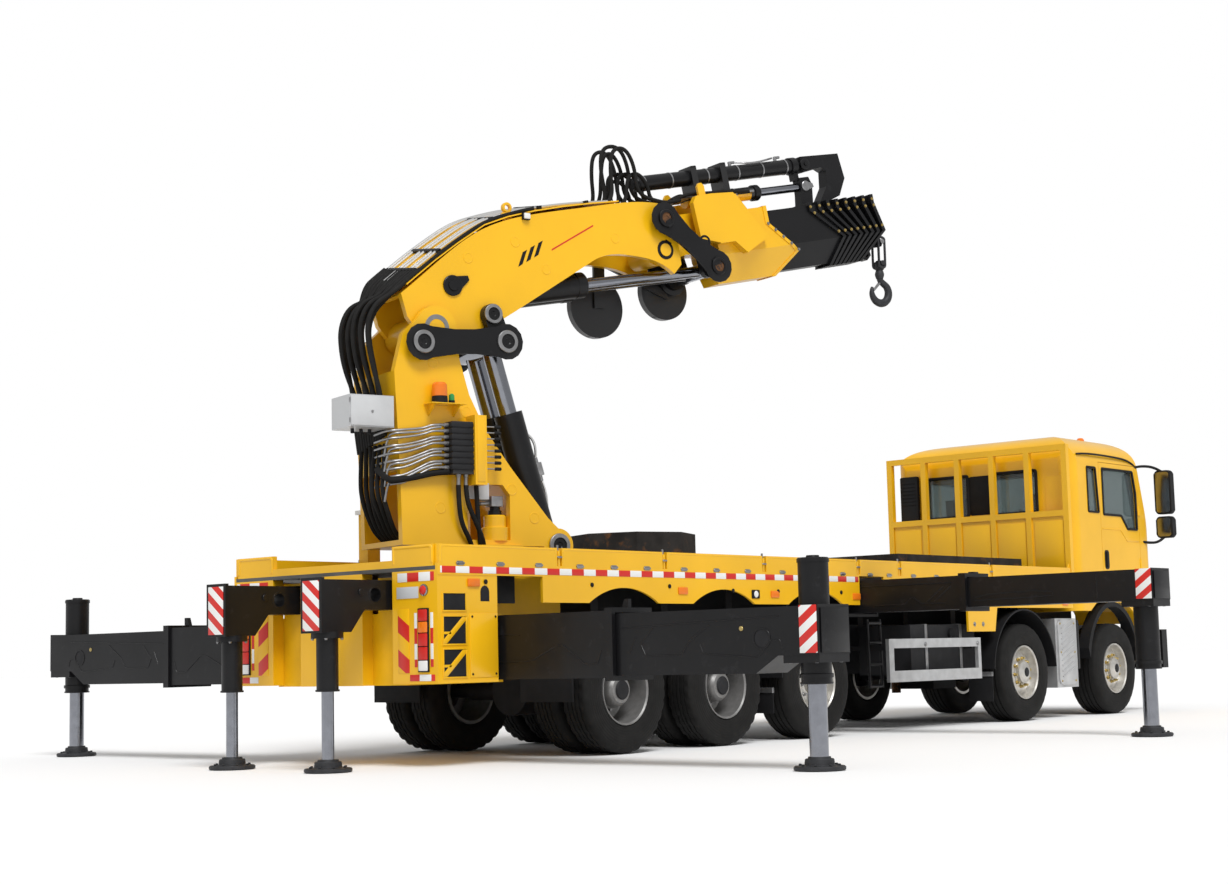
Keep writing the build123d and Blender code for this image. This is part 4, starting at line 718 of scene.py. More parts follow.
drive_cap = [(0.262, 0.085), (0.272, 0.075), (0.274, 0.0)]
# A flat disc that fills a hand hole with painted shade.
hand_hole_shade = [(0.0, 0.0), (0.0, 0.023), (0.003, 0.022), (0.003, 0.0)]
NUTS = 10
NUT_FACE_AND_CIRCLE = {1: (0.119, 0.158), 2: (0.119, 0.158), 3: (0.083, 0.168), 4: (0.024, 0.192),
                       5: (0.024, 0.192)}

for number, x in enumerate(AXLE_X, start=1):
    single = number < 4
    rim_key = "rim" if single else "rim_dark"
    wide = SINGLE_WIDE if single else 2 * TWIN_WIDE + TWIN_GAP
    for side, sign in SIDES:
        node = f"wheel_{number}_{side}"
        low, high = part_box(node)
        out = Vector((0, sign, 0))
        outer_y = low[1] if sign < 0 else high[1]
        centre = Vector((x, outer_y - sign * (0.195 if single else wide / 2), AXLE_Z))
        wheel = Piece(f"dressed_{node}", node)
        wheel.tyre_key = f"tyre_{number}_{side}"
        EXTRA[wheel.tyre_key] = bpy.data.materials[wheel.tyre_key]
        if single:
            add_tyre(wheel, centre, out, SINGLE_WIDE, False)
            wheel.turn(centre, out, hub_rim if number < 3 else steel_rim, rim_key, 40)
        else:
            for gap in (-1, 1):
                add_tyre(wheel, centre + out * gap * (TWIN_WIDE + TWIN_GAP) / 2, out, TWIN_WIDE, True)
            wheel.turn(centre, out, twin_rim, rim_key, 40)
        if number < 3:
            wheel.turn(centre, out, hub_cap, "dark", 24)
        elif number == 3:
            for spot, way in circle_spots(centre + out * 0.056, out, 0.232, 10, 0.3):
                wheel.ring(spot, out, 0.031, 0.022, 0.008, "rim", 14, 0.002)
                # The dark disc in each hand hole is painted shade.
                wheel.turn(spot, out, hand_hole_shade, "dark", 14)
        else:
            wheel.turn(centre, out, drive_cap, "dark", 20)
        wheel.done(node)
        face, circle = NUT_FACE_AND_CIRCLE[number]
        bolts(f"nuts_{node}", node, circle_spots(centre + out * face, out, circle, NUTS),
              0.016, 0.038 if single else 0.03, "brass" if number < 3 else "steel", 6, 1.3)

# %% [markdown]
# The outrigger beams are folded plate. Pressed ridges stiffen their walls: a long fold near the top,
# and below it a line that rises and falls like a row of low roofs. They are half-sunk round bars along
# routes that are drawn once in shares of the beam's length and height and laid on both walls.

# %% ridges on the outrigger beams
BEAM = {"rear": dict(mid=-5.405, reach=4.13, level=0.92, wide=0.43, tall=0.51, stagger=-0.28, step=0.125),
        "front": dict(mid=0.275, reach=4.19, level=1.36, wide=0.40, tall=0.32, stagger=0.28, step=0.0)}
STOW, SETBACK, END_BOX, WALL, SLIDE_GAP = 1.08, 0.175, 0.150, 0.018, 0.007
FIRST = {
    "rear": [[(0.0, 0.72), (0.33, 0.68)],
             [(0.0, 0.26), (0.42, 0.28), (0.62, 0.50), (0.68, 0.50), (0.84, 0.22), (0.94, 0.22),
              (0.97, 0.42)]],
    "front": [[(0.05, 0.80), (0.95, 0.80)],
              [(0.30, 0.2), (0.55, 0.2), (0.62, 0.42), (0.70, 0.2), (0.9, 0.2)],
              [(0.74, 0.24), (0.88, 0.70)],
              [(0.80, 0.24), (0.94, 0.70)]],
}
SECOND = {
    "rear": [[(0.02, 0.76), (0.98, 0.86)],
             [(0.22, 0.74), (0.14, 0.48), (0.17, 0.30), (0.40, 0.31), (0.45, 0.52), (0.57, 0.76)],
             [(0.51, 0.46), (0.53, 0.32), (0.86, 0.24), (0.93, 0.50), (0.985, 0.50), (1.0, 0.36)],
             [(0.07, 0.36), (0.11, 0.60)]],
    "front": [[(0.03, 0.30), (0.12, 0.40), (0.42, 0.46), (0.56, 0.40), (0.56, 0.26), (0.03, 0.20)],
              [(0.85, 0.1), (0.85, 0.92)]],
}
for end, size in BEAM.items():
    tip = STOW - SETBACK + (size["reach"] - STOW) / 2
    stages = ((1, FIRST[end], 1.0, tip - 0.09), (2, SECOND[end], tip + 0.03, size["reach"] - END_BOX))
    for side, sign in SIDES:
        x = size["mid"] + size["stagger"] * sign
        for stage, lines, start, stop in stages:
            half = size["wide"] / 2 - (0 if stage == 1 else WALL + SLIDE_GAP)
            base = size["level"] - size["tall"] / 2 + (0 if stage == 1 else 0.02)
            tall = size["tall"] - (0 if stage == 1 else 0.045)
            routes = [[(x + face * half, sign * (start + (stop - start) * a), base + tall * b)
                       for a, b in line] for face in (-1, 1) for line in lines]
            body = f"{end}_beam_{stage}_{side}"
            pipes(f"ridges_{end}_{stage}_{side}", body, routes, 0.0055, "black", order=2)
print("ridges laid")

# %% [markdown]
# Warning plates with red and white slanted bars stand on the ends of the beams and arms. One finish
# makes the bars: a wave on Object coordinates that switches between two films.

# %% striped warning film
def striped(name, one, two, axis, pitch, share=0.5):
    material = finish(name, one, grain=9.0, drift=0.05)
    tree = material.node_tree
    shader = tree.nodes["Principled BSDF"]
    place = direction(tree, O, axis)
    wave = math_node(tree, "FRACT", math_node(tree, "DIVIDE", place, pitch))
    bar = math_node(tree, "GREATER_THAN", wave, share)
    mix = tree.nodes.new("ShaderNodeMix")
    mix.data_type = "RGBA"
    tree.links.new(bar, mix.inputs["Factor"])
    mix.inputs[6].default_value = (*FINISH[one][0], 1)
    mix.inputs[7].default_value = (*FINISH[two][0], 1)
    tree.links.new(mix.outputs[2], shader.inputs["Base Color"])
    return material


EXTRA["bars"] = striped("red_white_bars", "red", "white", Vector((0, 0.6, 0.8)), 0.112)
EXTRA["arm_bars"] = striped("arm_red_white_bars", "red", "white", Vector((0, -0.6, 0.8)), 0.112)
EXTRA["chevron_left"] = striped("left_red_yellow_bars", "red", "yellow", Vector((0, 0.55, 0.835)), 0.22)
EXTRA["chevron_right"] = striped("right_red_yellow_bars", "red", "yellow", Vector((0, -0.55, 0.835)), 0.22)
EXTRA["tape_x"] = striped("tape_along", "red", "white", X, 0.30)
EXTRA["tape_y"] = striped("tape_across", "red", "white", Y, 0.26)
EXTRA["tape_z"] = striped("tape_upright", "red", "white", Z, 0.24)
TUBE_TOP = 1.48
TUBE_CAP = [(-0.02, 0.116), (0.006, 0.116), (0.014, 0.108), (0.014, 0.05), (0.03, 0.045), (0.03, 0)]
for end, size in BEAM.items():
    half = size["wide"] / 2 - WALL - SLIDE_GAP
    top = size["level"] + size["tall"] / 2 - 0.02
    foot = size["level"] - size["tall"] / 2 + 0.03 + size["step"]
    reach = size["reach"]
    face_y = reach + END_BOX + 0.0195
    for side, sign in SIDES:
        x = size["mid"] + size["stagger"] * sign
        post = Vector((x, sign * reach, 0))
        plate = Piece(f"warning_{end}_{side}", f"{end}_beam_2_{side}")
        if side == "right":
            plate.side_block(sign, (x - half - 0.006, reach, foot), (x - half + 0.001, reach + END_BOX, top),
                             "bars", 0.002)
        plate.side_block(sign, (x - half + 0.02, face_y, foot), (x + half - 0.02, face_y + 0.003, top - 0.02),
                         "black", 0.001)
        plate.ring(post + Z * 0.615, -Z, 0.118, 0.072, 0.015, "black", 36, 0.004)
        plate.ring(post + Z * 0.645, Z, 0.122, 0.109, 0.03, "black", 36, 0.004)
        if end == "rear":
            plate.turn(post + Z * TUBE_TOP, Z, TUBE_CAP, "black", 32)
        plate.done()
        spots = [(post + Vector((dx, sign * dy, foot - 0.055)), -Z) for dx in (-0.15, 0.15)
                 for dy in (-0.11, 0.11)]
        bolts(f"base_bolts_{end}_{side}", f"{end}_beam_2_{side}", spots, 0.013, 0.016, "steel")
        stage = 2 if end == "rear" else 1
        hole = Piece(f"lightening_hole_{end}_{side}", f"{end}_beam_{stage}_{side}")
        if end == "rear":
            for face in (-1, 1):
                spot = Vector((x + face * half, sign * (reach - 0.33), size["level"] + 0.01))
                plug = spot + Vector((0, -sign * 0.18, 0.075))
                hole.ring(spot, X * face, 0.078, 0.066, 0.006, "black", 28, 0.002)
                # The flat dark disc inside the ring is painted shade of the hole.
                hole.turn(spot, X * face, [(0.0, 0.0), (0.0, 0.068), (0.0015, 0.067), (0.0015, 0.0)], "dark",
                          28)
                hole.rod(plug, plug + X * face * 0.008, 0.018, "brass")
        else:
            hole.side_block(sign, (x - 0.05, 2.395, 1.536), (x + 0.05, 2.455, 1.557), "black", 0.006)
        hole.done()
print("beam ends dressed")

# %% [markdown]
# The two rear arms carry the same film, a ring round the hole in each side, and four bolts under the
# end. The feet of all six jacks are turned in one go with their bright rods, and stand for the solids.

# %% rear arms and jack feet
ARM_Y, ARM_JACK_X, ARM_HOLE_X = 0.586, -6.59, -6.19
for side, sign in SIDES:
    plate = Piece(f"warning_arm_{side}", f"rear_arm_{side}")
    low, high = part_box(f"rear_arm_{side}")
    y = sign * ARM_Y
    plate.block((low[0] - 0.005, y - 0.095, 1.075), (low[0] + 0.001, y + 0.095, 1.46), "arm_bars", 0.002)
    spot = Vector((ARM_HOLE_X, y, 1.352))
    for face in (-1, 1):
        boss = spot + Vector((-0.15, face * 0.110, 0.02))
        plate.ring(spot + Y * face * 0.1095, Y * face, 0.068, 0.0555, 0.003, "black", 28, 0.001)
        plate.rod(boss, boss + Y * face * 0.012, 0.028, "black", 20)
    plate.ring((ARM_JACK_X, y, 0.625), -Z, 0.094, 0.050, 0.015, "black", 32, 0.004)
    plate.done()
    spots = [(Vector((ARM_JACK_X + dx, y + dy, 1.018)), -Z) for dx in (-0.08, 0.08) for dy in (-0.08, 0.08)]
    bolts(f"arm_bolts_{side}", f"rear_arm_{side}", spots, 0.011, 0.014, "steel")
FOOT = [(0.0, 0.0), (0.0, 0.178), (0.005, 0.185), (0.022, 0.185), (0.030, 0.176), (0.034, 0.115),
        (0.040, 0.108), (0.074, 0.104), (0.080, 0.098), (0.080, 0.084), (0.094, 0.080)]
for kind, rod in (("rear", 0.068), ("front", 0.068), ("arm", 0.048)):
    for side in side_names:
        low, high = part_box(f"{kind}_jack_{side}")
        top = high[2]
        mid = Vector(((low[0] + high[0]) / 2, (low[1] + high[1]) / 2, 0))
        bright = [(0.085, 0.0), (0.085, rod), (top - 0.006, rod), (top, rod - 0.006), (top, 0.0)]
        pad = Piece(f"foot_{kind}_{side}", f"{kind}_jack_{side}")
        pad.turn(mid, Z, FOOT + [(0.094, rod - 0.004), (0.090, 0.0)], "foot", 40)
        pad.turn(mid, Z, bright, "chrome", 40)
        for n in range(8):
            turn = math.radians(45 * n + 22.5)
            spot = mid + Vector((0.140 * math.cos(turn), 0.140 * math.sin(turn), 0.031))
            pad.rod(spot, spot + Z * 0.014, 0.012, "foot", 6)
        pad.done(f"{kind}_jack_{side}")

# %% [markdown]
# Each side board is a light pressed panel inside a bent tube. The tube is a closed curve with round
# corners. Under the boards run hinges of zinc steel and a tape of red and white bars.

# %% rims of the boards
BOARD_LOW, BOARD_TOP, HALF_WIDE, BODY_REAR, TAIL_IN = 1.58, 1.73, 1.25, -6.045, 0.735
GAP, GUARD_X = 0.06, 4.275


def board_spans(sign):
    """(start, stop) of every board of one side, from the tail forwards."""
    skirt_front = 0.275 + 0.28 * sign - 0.20 - 0.015
    spans, x = [], BODY_REAR + 0.02
    for length in (1.35, 1.31, 1.41):
        spans.append((x, x + length))
        x += length + GAP
    notch = skirt_front + 0.02
    spans += [(x, notch - GAP), (notch, notch + 0.70)]
    x = notch + 0.70 + GAP
    length = (GUARD_X - 0.06 - x - GAP) / 2
    return spans + [(x + n * (length + GAP), x + n * (length + GAP) + length) for n in (0, 1)]


def round_rim(low, high, level_low, level_high, corner, place):
    """The line of a frame that is open below and has two round upper corners."""
    line = [(low, level_low), (low, level_high - corner), (low, level_high), (low + corner, level_high),
            (high - corner, level_high), (high, level_high), (high, level_high - corner), (high, level_low)]
    return [place(a, b) for a, b in line]


rims, hinge = [], Piece("board_hinges", "truck")
for sign in (1, -1):
    boards = board_spans(sign)
    for start, stop in boards:
        rims.append(round_rim(start + 0.018, stop - 0.018, BOARD_LOW + 0.012, BOARD_TOP - 0.014, 0.05,
                              lambda a, b: (a, sign * (HALF_WIDE - 0.012), b)))
        count = max(2, round((stop - start) / 0.5))
        for n in range(count):
            x = start + (stop - start) * (n + 0.5) / count
            hinge.side_block(sign, (x - 0.035, 1.244, 1.565), (x + 0.035, 1.256, 1.60), "steel", 0.003)
            hinge.rod((x - 0.045, sign * 1.254, 1.582), (x + 0.045, sign * 1.254, 1.582), 0.009, "steel", 12)
    for start, stop in boards[:6]:
        x = stop + GAP / 2
        hinge.side_block(sign, (x - 0.012, 1.20, 1.58), (x + 0.012, 1.245, 1.71), "yellow", 0.004)
        hinge.rod((x, sign * 1.225, 1.70), (x, sign * 1.225, 1.755), 0.010, "steel", 12)
        hinge.rod((x - 0.03, sign * 1.25, 1.655), (x + 0.03, sign * 1.25, 1.655), 0.008, "steel", 10)
    rims.append(round_rim(TAIL_IN + 0.015, 1.185, 1.59, BOARD_TOP - 0.014, 0.05,
                          lambda a, b: (BODY_REAR + 0.008, sign * a, b)))
hinge.done()
pipes("board_rims", "truck", rims, 0.0145, "yellow", sides=4)

# %% [markdown]
# The tape, the side markers and the little black plugs along the skirt are thin pieces on the panel.
# Their pitch is read from the wheel arches in the photograph.

# %% tape, markers and plugs along the sides
MARKERS = ((-5.72, 1.40), (-3.10, 1.36), (-1.72, 1.34), (-0.35, 1.33))
PLUGS = ((-5.52, 1.44), (-4.25, 1.43), (-3.22, 1.43), (-2.30, 1.40), (-1.60, 1.40), (-0.55, 1.40))
LAMP_X = -2.02
side_marks = Piece("side_marks", "truck")
for sign in (1, -1):
    out = (0, sign, 0)
    skirt_front = 0.275 + 0.28 * sign - 0.215
    side_marks.side_block(sign, (BODY_REAR + 0.03, 1.2495, 1.505), (skirt_front - 0.02, 1.2525, 1.558),
                          "tape_x", 0.0008)
    for x, z in MARKERS:
        side_marks.side_block(sign, (x, 1.249, z), (x + 0.13, 1.262, z + 0.062), "orange", 0.006)
    side_marks.side_block(sign, (3.98, 1.249, 1.29), (4.11, 1.262, 1.35), "orange", 0.006)
    for x, z in PLUGS:
        side_marks.turn((x, sign * 1.249, z), out, [(0, 0.019), (0.008, 0.019), (0.013, 0.012), (0.013, 0)],
                        "plastic", 16)
    side_marks.side_block(sign, (LAMP_X, 1.249, 1.33), (LAMP_X + 0.12, 1.262, 1.41), "plastic", 0.008)
    side_marks.turn((LAMP_X + 0.06, sign * 1.262, 1.37), out, [(0, 0.032), (0.006, 0.026), (0.008, 0)],
                    "white", 20)
side_marks.done()

# %% [markdown]
# The tail cabinet carries the rear lamps. Its outer wall is braced sheet: openings drawn as flat dark sheets
# of painted shade, with a folded frame round each and a slanted stay behind. The plate's place is bare grey
# sheet.

# %% rear lamps, plates and tapes
WALL_Y, FRAME_WIDE, STAY_WIDE = 1.2445, 0.012, 0.032
LAMPS = ((1.135, 1.225, "red"), (1.045, 1.13, "orange"), (0.94, 1.04, "red"), (0.835, 0.935, "red"),
         (0.75, 0.83, "white"))


def rear_sheet(piece, sign, across, level, key, deep=0.006, edge=0.002):
    """A sheet on the tail's rear face, between two distances from the middle and two heights."""
    piece.side_block(sign, (BODY_REAR - deep, across[0], level[0]), (BODY_REAR + 0.001, across[1], level[1]),
                     key, edge)


def painted_shade_recess(piece, sign, span, level, stay):
    """A flat dark sheet of painted shade where an opening is, with a folded frame round it and, if wanted, a
    slanted stay and a shelf.
    """
    (x_low, x_high), (z_low, z_high) = span, level
    # The dark sheet lies flush with the wall: painted shade where the opening would be.
    piece.side_block(sign, (x_low, WALL_Y - 0.002, z_low), (x_high, WALL_Y + 0.0015, z_high), "dark")
    x_out, x_far = x_low - FRAME_WIDE, x_high + FRAME_WIDE
    for low, high in (((x_out, z_low - FRAME_WIDE), (x_far, z_low)),
                      ((x_out, z_high), (x_far, z_high + FRAME_WIDE)),
                      ((x_out, z_low), (x_low, z_high)), ((x_high, z_low), (x_far, z_high))):
        piece.side_block(sign, (low[0], WALL_Y, low[1]), (high[0], WALL_Y + 0.008, high[1]), "yellow", 0.002)
    if stay:
        slant = [(x_low, z_low), (x_low + STAY_WIDE, z_low), (x_high, z_high - STAY_WIDE),
                 (x_high, z_high), (x_high - STAY_WIDE, z_high), (x_low, z_low + STAY_WIDE)]
        piece.side_sheet(sign, WALL_Y, slant, 0.004, "yellow", 0.0015)
        shelf = z_low + 0.35 * (z_high - z_low)
        piece.side_block(sign, (x_low, WALL_Y, shelf), (x_low + 0.08, WALL_Y + 0.004, shelf + 0.02), "yellow",
                         0.001)


for side, sign in SIDES:
    tail = Piece(f"tail_lamps_{side}", "truck")
    rear_sheet(tail, sign, (0.80, 1.21), (1.445, 1.515), "tape_y", 0.003, 0.0008)
    rear_sheet(tail, sign, (0.79, 1.035), (1.315, 1.405), "grey")
    rear_sheet(tail, sign, (0.80, 0.925), (0.735, 1.235), f"chevron_{side}", 0.004, 0.001)
    rear_sheet(tail, sign, (0.93, 1.21), (0.672, 0.722), "tape_y", 0.003, 0.0008)
    rear_sheet(tail, sign, (0.985, 1.015), (0.78, 1.20), "tape_z", 0.003, 0.0008)
    rear_sheet(tail, sign, (1.165, 1.195), (0.78, 1.20), "tape_z", 0.003, 0.0008)
    rear_sheet(tail, sign, (1.03, 1.152), (0.74, 1.235), "plastic", 0.012, 0.005)
    for low, high, key in LAMPS:
        rear_sheet(tail, sign, (1.042, 1.140), (low, high), key, 0.022, 0.008)
    round_lamp = Vector((BODY_REAR, sign * 1.10, 1.375))
    tail.turn(round_lamp, -X, [(0, 0.046), (0.012, 0.046), (0.016, 0.036)], "chrome", 24)
    tail.turn(round_lamp - X * 0.014, -X, [(0, 0.036), (0.012, 0.032), (0.020, 0.018), (0.021, 0)], "red", 24)
    tail.done()
    wall = Piece(f"cabinet_wall_{side}", "truck")
    if side == "right":
        for level, stay in (((1.215, 1.345), False), ((0.955, 1.165), True), ((0.70, 0.91), True)):
            painted_shade_recess(wall, sign, (-5.985, -5.745), level, stay)
        wall.side_block(sign, (-5.70, WALL_Y - 0.001, 0.69), (-5.39, WALL_Y + 0.006, 1.19), "yellow", 0.003)
        # A flat dark arch on the wall is painted shade of an arched opening.
        arc = [(-5.525 - 0.05 * math.cos(t), 1.36 + 0.05 * math.sin(t))
               for t in (0.5, 1.05, 1.57, 2.09, 2.64)]
        arch = [(-5.575, 1.285), (-5.575, 1.36)] + arc + [(-5.475, 1.36), (-5.475, 1.285)]
        wall.side_sheet(sign, WALL_Y + 0.0015, arch, -0.003, "dark")
    else:
        wall.side_block(sign, (-5.995, WALL_Y - 0.001, 0.69), (-5.915, WALL_Y + 0.006, 1.46), "yellow", 0.002)
    wall.done()
door_spots = [(Vector((x, -1.2505, z)), -Y) for x in (-5.675, -5.415) for z in (0.715, 1.165)]
bolts("cabinet_door_screws", "truck", door_spots, 0.008, 0.005, "plastic", 8, 1.2)

# %% [markdown]
# Below the deck hang the small things of a truck: a ladder, a ribbed heat shield over the silencer,
# mud flaps, straps round the tank. Each is made from bent bars or sheet, as the real one is.

# %% ladder, flaps and straps
LADDER_X, LADDER_Y = (0.22, 0.45), -1.038
rails = [[(x, -1.03, 1.14), (x, -1.035, 0.95), (x, -1.04, 0.48), (x, -1.04, 0.44)] for x in LADDER_X]
rungs = [[(x, LADDER_Y, z) for x in (LADDER_X[0], 0.335, LADDER_X[1])] for z in (0.46, 0.68, 0.90, 1.10)]
pipes("ladder", "truck", rails + rungs, 0.016, "black", order=2)
FLAPS = ((-4.48, 0.62, 1.22, 0.46, 0.90), (2.36, 0.92, 1.225, 0.24, 0.56), (-1.66, 0.9, 1.2, 0.26, 0.5))
TANK_CAP = [(0, 0.06), (0.03, 0.06), (0.035, 0.05), (0.035, 0)]
flaps = Piece("mud_flaps", "truck")
for sign in (1, -1):
    for x, near, far, low, high in FLAPS:
        flaps.side_block(sign, (x - 0.006, near, low), (x + 0.006, far, high), "plastic", 0.003)
        flaps.side_block(sign, (x - 0.015, near, high - 0.05), (x + 0.015, far, high), "steel", 0.003)
    for x in (1.25, 1.95):
        flaps.side_block(sign, (x - 0.025, 0.43, 1.078), (x + 0.025, 1.086, 1.088), "steel", 0.002)
        flaps.side_block(sign, (x - 0.025, 1.078, 0.555), (x + 0.025, 1.088, 1.085), "steel", 0.002)
    flaps.turn((1.75, sign * 1.08, 0.98), (0, sign, 0), TANK_CAP, "plastic", 24)
# Dark sheet at the back of the opening between the right tail cabinet and the skirt, behind the drawn-in
# jack: painted shade in the opening
flaps.block((-5.38, -0.94, 1.282), (-4.862, -0.92, 1.528), "dark", 0.004)
flaps.done()

# %% [markdown]
# The heat shield is a pale sheet with round corners, pressed with slanted ribs so that it stays flat
# when hot. The ribs repeat along a rule, so they are one row of half-sunk bars.

# %% heat shield
def rounded(low_a, high_a, low_b, high_b, corner, steps=5):
    """Corner points of a rectangle with round corners."""
    left, right, bottom, top = low_a + corner, high_a - corner, low_b + corner, high_b - corner
    line = []
    for mid_a, mid_b, start in ((right, top, 0), (left, top, 90), (left, bottom, 180), (right, bottom, 270)):
        for n in range(steps + 1):
            t = math.radians(start + 90 * n / steps)
            line.append((mid_a + corner * math.cos(t), mid_b + corner * math.sin(t)))
    return line


SHIELD_Y, SHIELD_THICK = 1.2245, 0.018
shield = Piece("heat_shields", "truck")
ribs, spots = [], []
for sign in (1, -1):
    shield.side_sheet(sign, SHIELD_Y, rounded(3.86, 4.29, 0.375, 1.125, 0.09), SHIELD_THICK, "aluminium",
                      0.005)
    face = sign * (SHIELD_Y + SHIELD_THICK)
    for n in range(10):
        z = 0.47 + 0.062 * n
        ribs.append([(3.93, face, z), (4.07, face, z + 0.05), (4.22, face, z + 0.105)])
    spots += [(Vector((x, face, z)), Vector((0, sign, 0))) for x in (3.91, 4.24) for z in (0.42, 0.75, 1.08)]
    shield.side_block(sign, (4.335, SHIELD_Y - 0.25, 0.55), (4.40, SHIELD_Y, 1.12), "black", 0.01)
    shield.rod((3.80, sign * 0.95, 0.30), (3.80, sign * 0.95, 1.10), 0.055, "rust", 20)
shield.done()
pipes("shield_ribs", "truck", ribs, 0.009, "aluminium")
bolts("shield_screws", "truck", spots, 0.010, 0.006, "brass", 8, 1.3)

# %% [markdown]
# Side guards, panel over the second axle, headboard: a few screws, a hinge and folded edges tell that
# these are sheets which come off for service.

# %% screws and folds of the panels
spots = []
for s in (1, -1):
    spots += [(Vector((x, s * 1.2505, 1.08)), Vector((0, s, 0))) for x in (1.98, 2.16)]
    spots += [(Vector((x, s * 1.2305, 0.875)), Vector((0, s, 0))) for x in (1.0, 2.06)]
bolts("panel_bolts", "truck", spots, 0.017, 0.010, "steel", 6, 1.5)
SKIRT_END = [(1.03, 1.56), (1.225, 1.56), (1.225, 1.28), (1.16, 1.28)]
panel = Piece("panel_folds", "truck")
for sign in (1, -1):
    panel.side_block(sign, (2.02, 1.249, 1.235), (2.14, 1.258, 1.275), "steel", 0.003)
    panel.rod((2.01, sign * 1.256, 1.275), (2.15, sign * 1.256, 1.275), 0.008, "steel", 10)
    panel.cross_sheet(-0.226 if sign < 0 else 0.334, SKIRT_END, -0.014, "yellow", 0.003, sign)
for y in (-0.98, -0.48, 0.0, 0.48, 0.98):
    panel.block((4.252, y - 0.19, 1.60), (4.259, y + 0.19, 2.30), "yellow", 0.003)
panel.done()
GUSSET = [(4.24, 1.54), (4.10, 1.54), (4.10, 1.56), (4.24, 1.78)]
stays = Piece("headboard_feet", "truck")
for y in (-1.215, -0.72, -0.24, 0.24, 0.72, 1.215):
    stays.side_sheet(1, y - 0.01, GUSSET, 0.02, "yellow", 0.003)
stays.done()

# %% [markdown]
# A cab is sheet metal with rubber round every pane. The seals are thin round bars along the window
# openings, the door panes ride on their doors, and handles, mirrors, visor, wipers, lamps and grille
# are small closed forms. The doors swing, so whatever is on a door rides on it.

# %% seals and door panes
EXTRA["pane"] = pane
CAB_Y = 1.225
DOOR_PANE = [(5.18, 2.40), (5.18, 2.96), (5.99, 2.96), (6.06, 2.69), (6.06, 2.24), (5.80, 2.24), (5.64, 2.40)]
QUARTER = [(4.79, 2.42), (4.79, 2.96), (5.01, 2.96), (5.06, 2.42)]


def seal_line(points, place, corner=0.035):
    """A closed line that keeps to the straight edges and rounds the corners a little."""
    line = []
    for n, spot in enumerate(points):
        here, before, after = Vector(spot), Vector(points[n - 1]), Vector(points[(n + 1) % len(points)])
        line += [here + (before - here).normalized() * corner, here,
                 here + (after - here).normalized() * corner]
    return [place(p.x, p.y) for p in line]


FOLD = [(5.13, 2.235), (5.62, 2.235), (5.78, 2.10), (6.10, 2.10),
        (6.10, 2.085), (5.77, 2.085), (5.61, 2.22), (5.13, 2.22)]
for side, sign in SIDES:
    body = f"door_{side}"
    glass = Piece(f"door_pane_{side}", body)
    glass.side_sheet(sign, CAB_Y - 0.022, DOOR_PANE, -0.006, "pane")
    glass.done()
    seal = seal_line(DOOR_PANE, lambda a, b: (a, sign * (CAB_Y + 0.001), b))
    pipes(f"door_seal_{side}", body, [seal], 0.015, "plastic", closed=True)
    door = Piece(f"door_fittings_{side}", body)
    door.side_sheet(sign, CAB_Y - 0.001, rounded(5.155, 5.265, 1.735, 1.965, 0.035), 0.006, "dark", 0.002)
    door.side_sheet(sign, CAB_Y + 0.004, rounded(5.175, 5.215, 1.755, 1.945, 0.018), 0.020, "plastic", 0.006)
    door.side_sheet(sign, CAB_Y - 0.001, FOLD, 0.006, "yellow", 0.002)
    door.side_sheet(sign, CAB_Y - 0.001, rounded(5.80, 6.10, 1.42, 1.60, 0.02), 0.005, "yellow", 0.002)
    door.done()
for side, sign in reversed(SIDES):
    seal = seal_line(QUARTER, lambda a, b: (a, sign * (CAB_Y + 0.001), b))
    pipes(f"quarter_seal_{side}", "truck", [seal], 0.013, "plastic", closed=True)
BACK_PANES = [[(lo, 2.43), (lo, 2.93), (hi, 2.93), (hi, 2.43)] for lo, hi in ((-0.76, -0.18), (0.18, 0.76))]
seals = [seal_line(pane_line, lambda a, b: (4.399, a, b), 0.05) for pane_line in BACK_PANES]
pipes("rear_window_seals", "truck", seals, 0.020, "plastic", closed=True)
SCREEN = [(1.08, 0.0), (1.08, 1.0), (-1.08, 1.0), (-1.08, 0.0)]
seal = seal_line(SCREEN, lambda a, b: (6.325 - 0.229 * b, a, 2.24 + 0.82 * b), 0.06)
pipes("windscreen_seal", "truck", [seal], 0.022, "plastic", closed=True)
DRIP = ((4.56, 1.222, 3.10), (4.72, 1.232, 3.12), (5.4, 1.232, 3.12), (5.95, 1.228, 3.10),
        (6.09, 1.222, 3.03))
pipes("drip_strips", "truck", [[(x, s * y, z) for x, y, z in DRIP] for s in (1, -1)], 0.012, "plastic")

# %% [markdown]
# The mirrors stand out on tube arms from the front corner. The visor, wipers, grille and lamps finish
# the front, which the photograph hides: they are the plain ones that such a cab has.

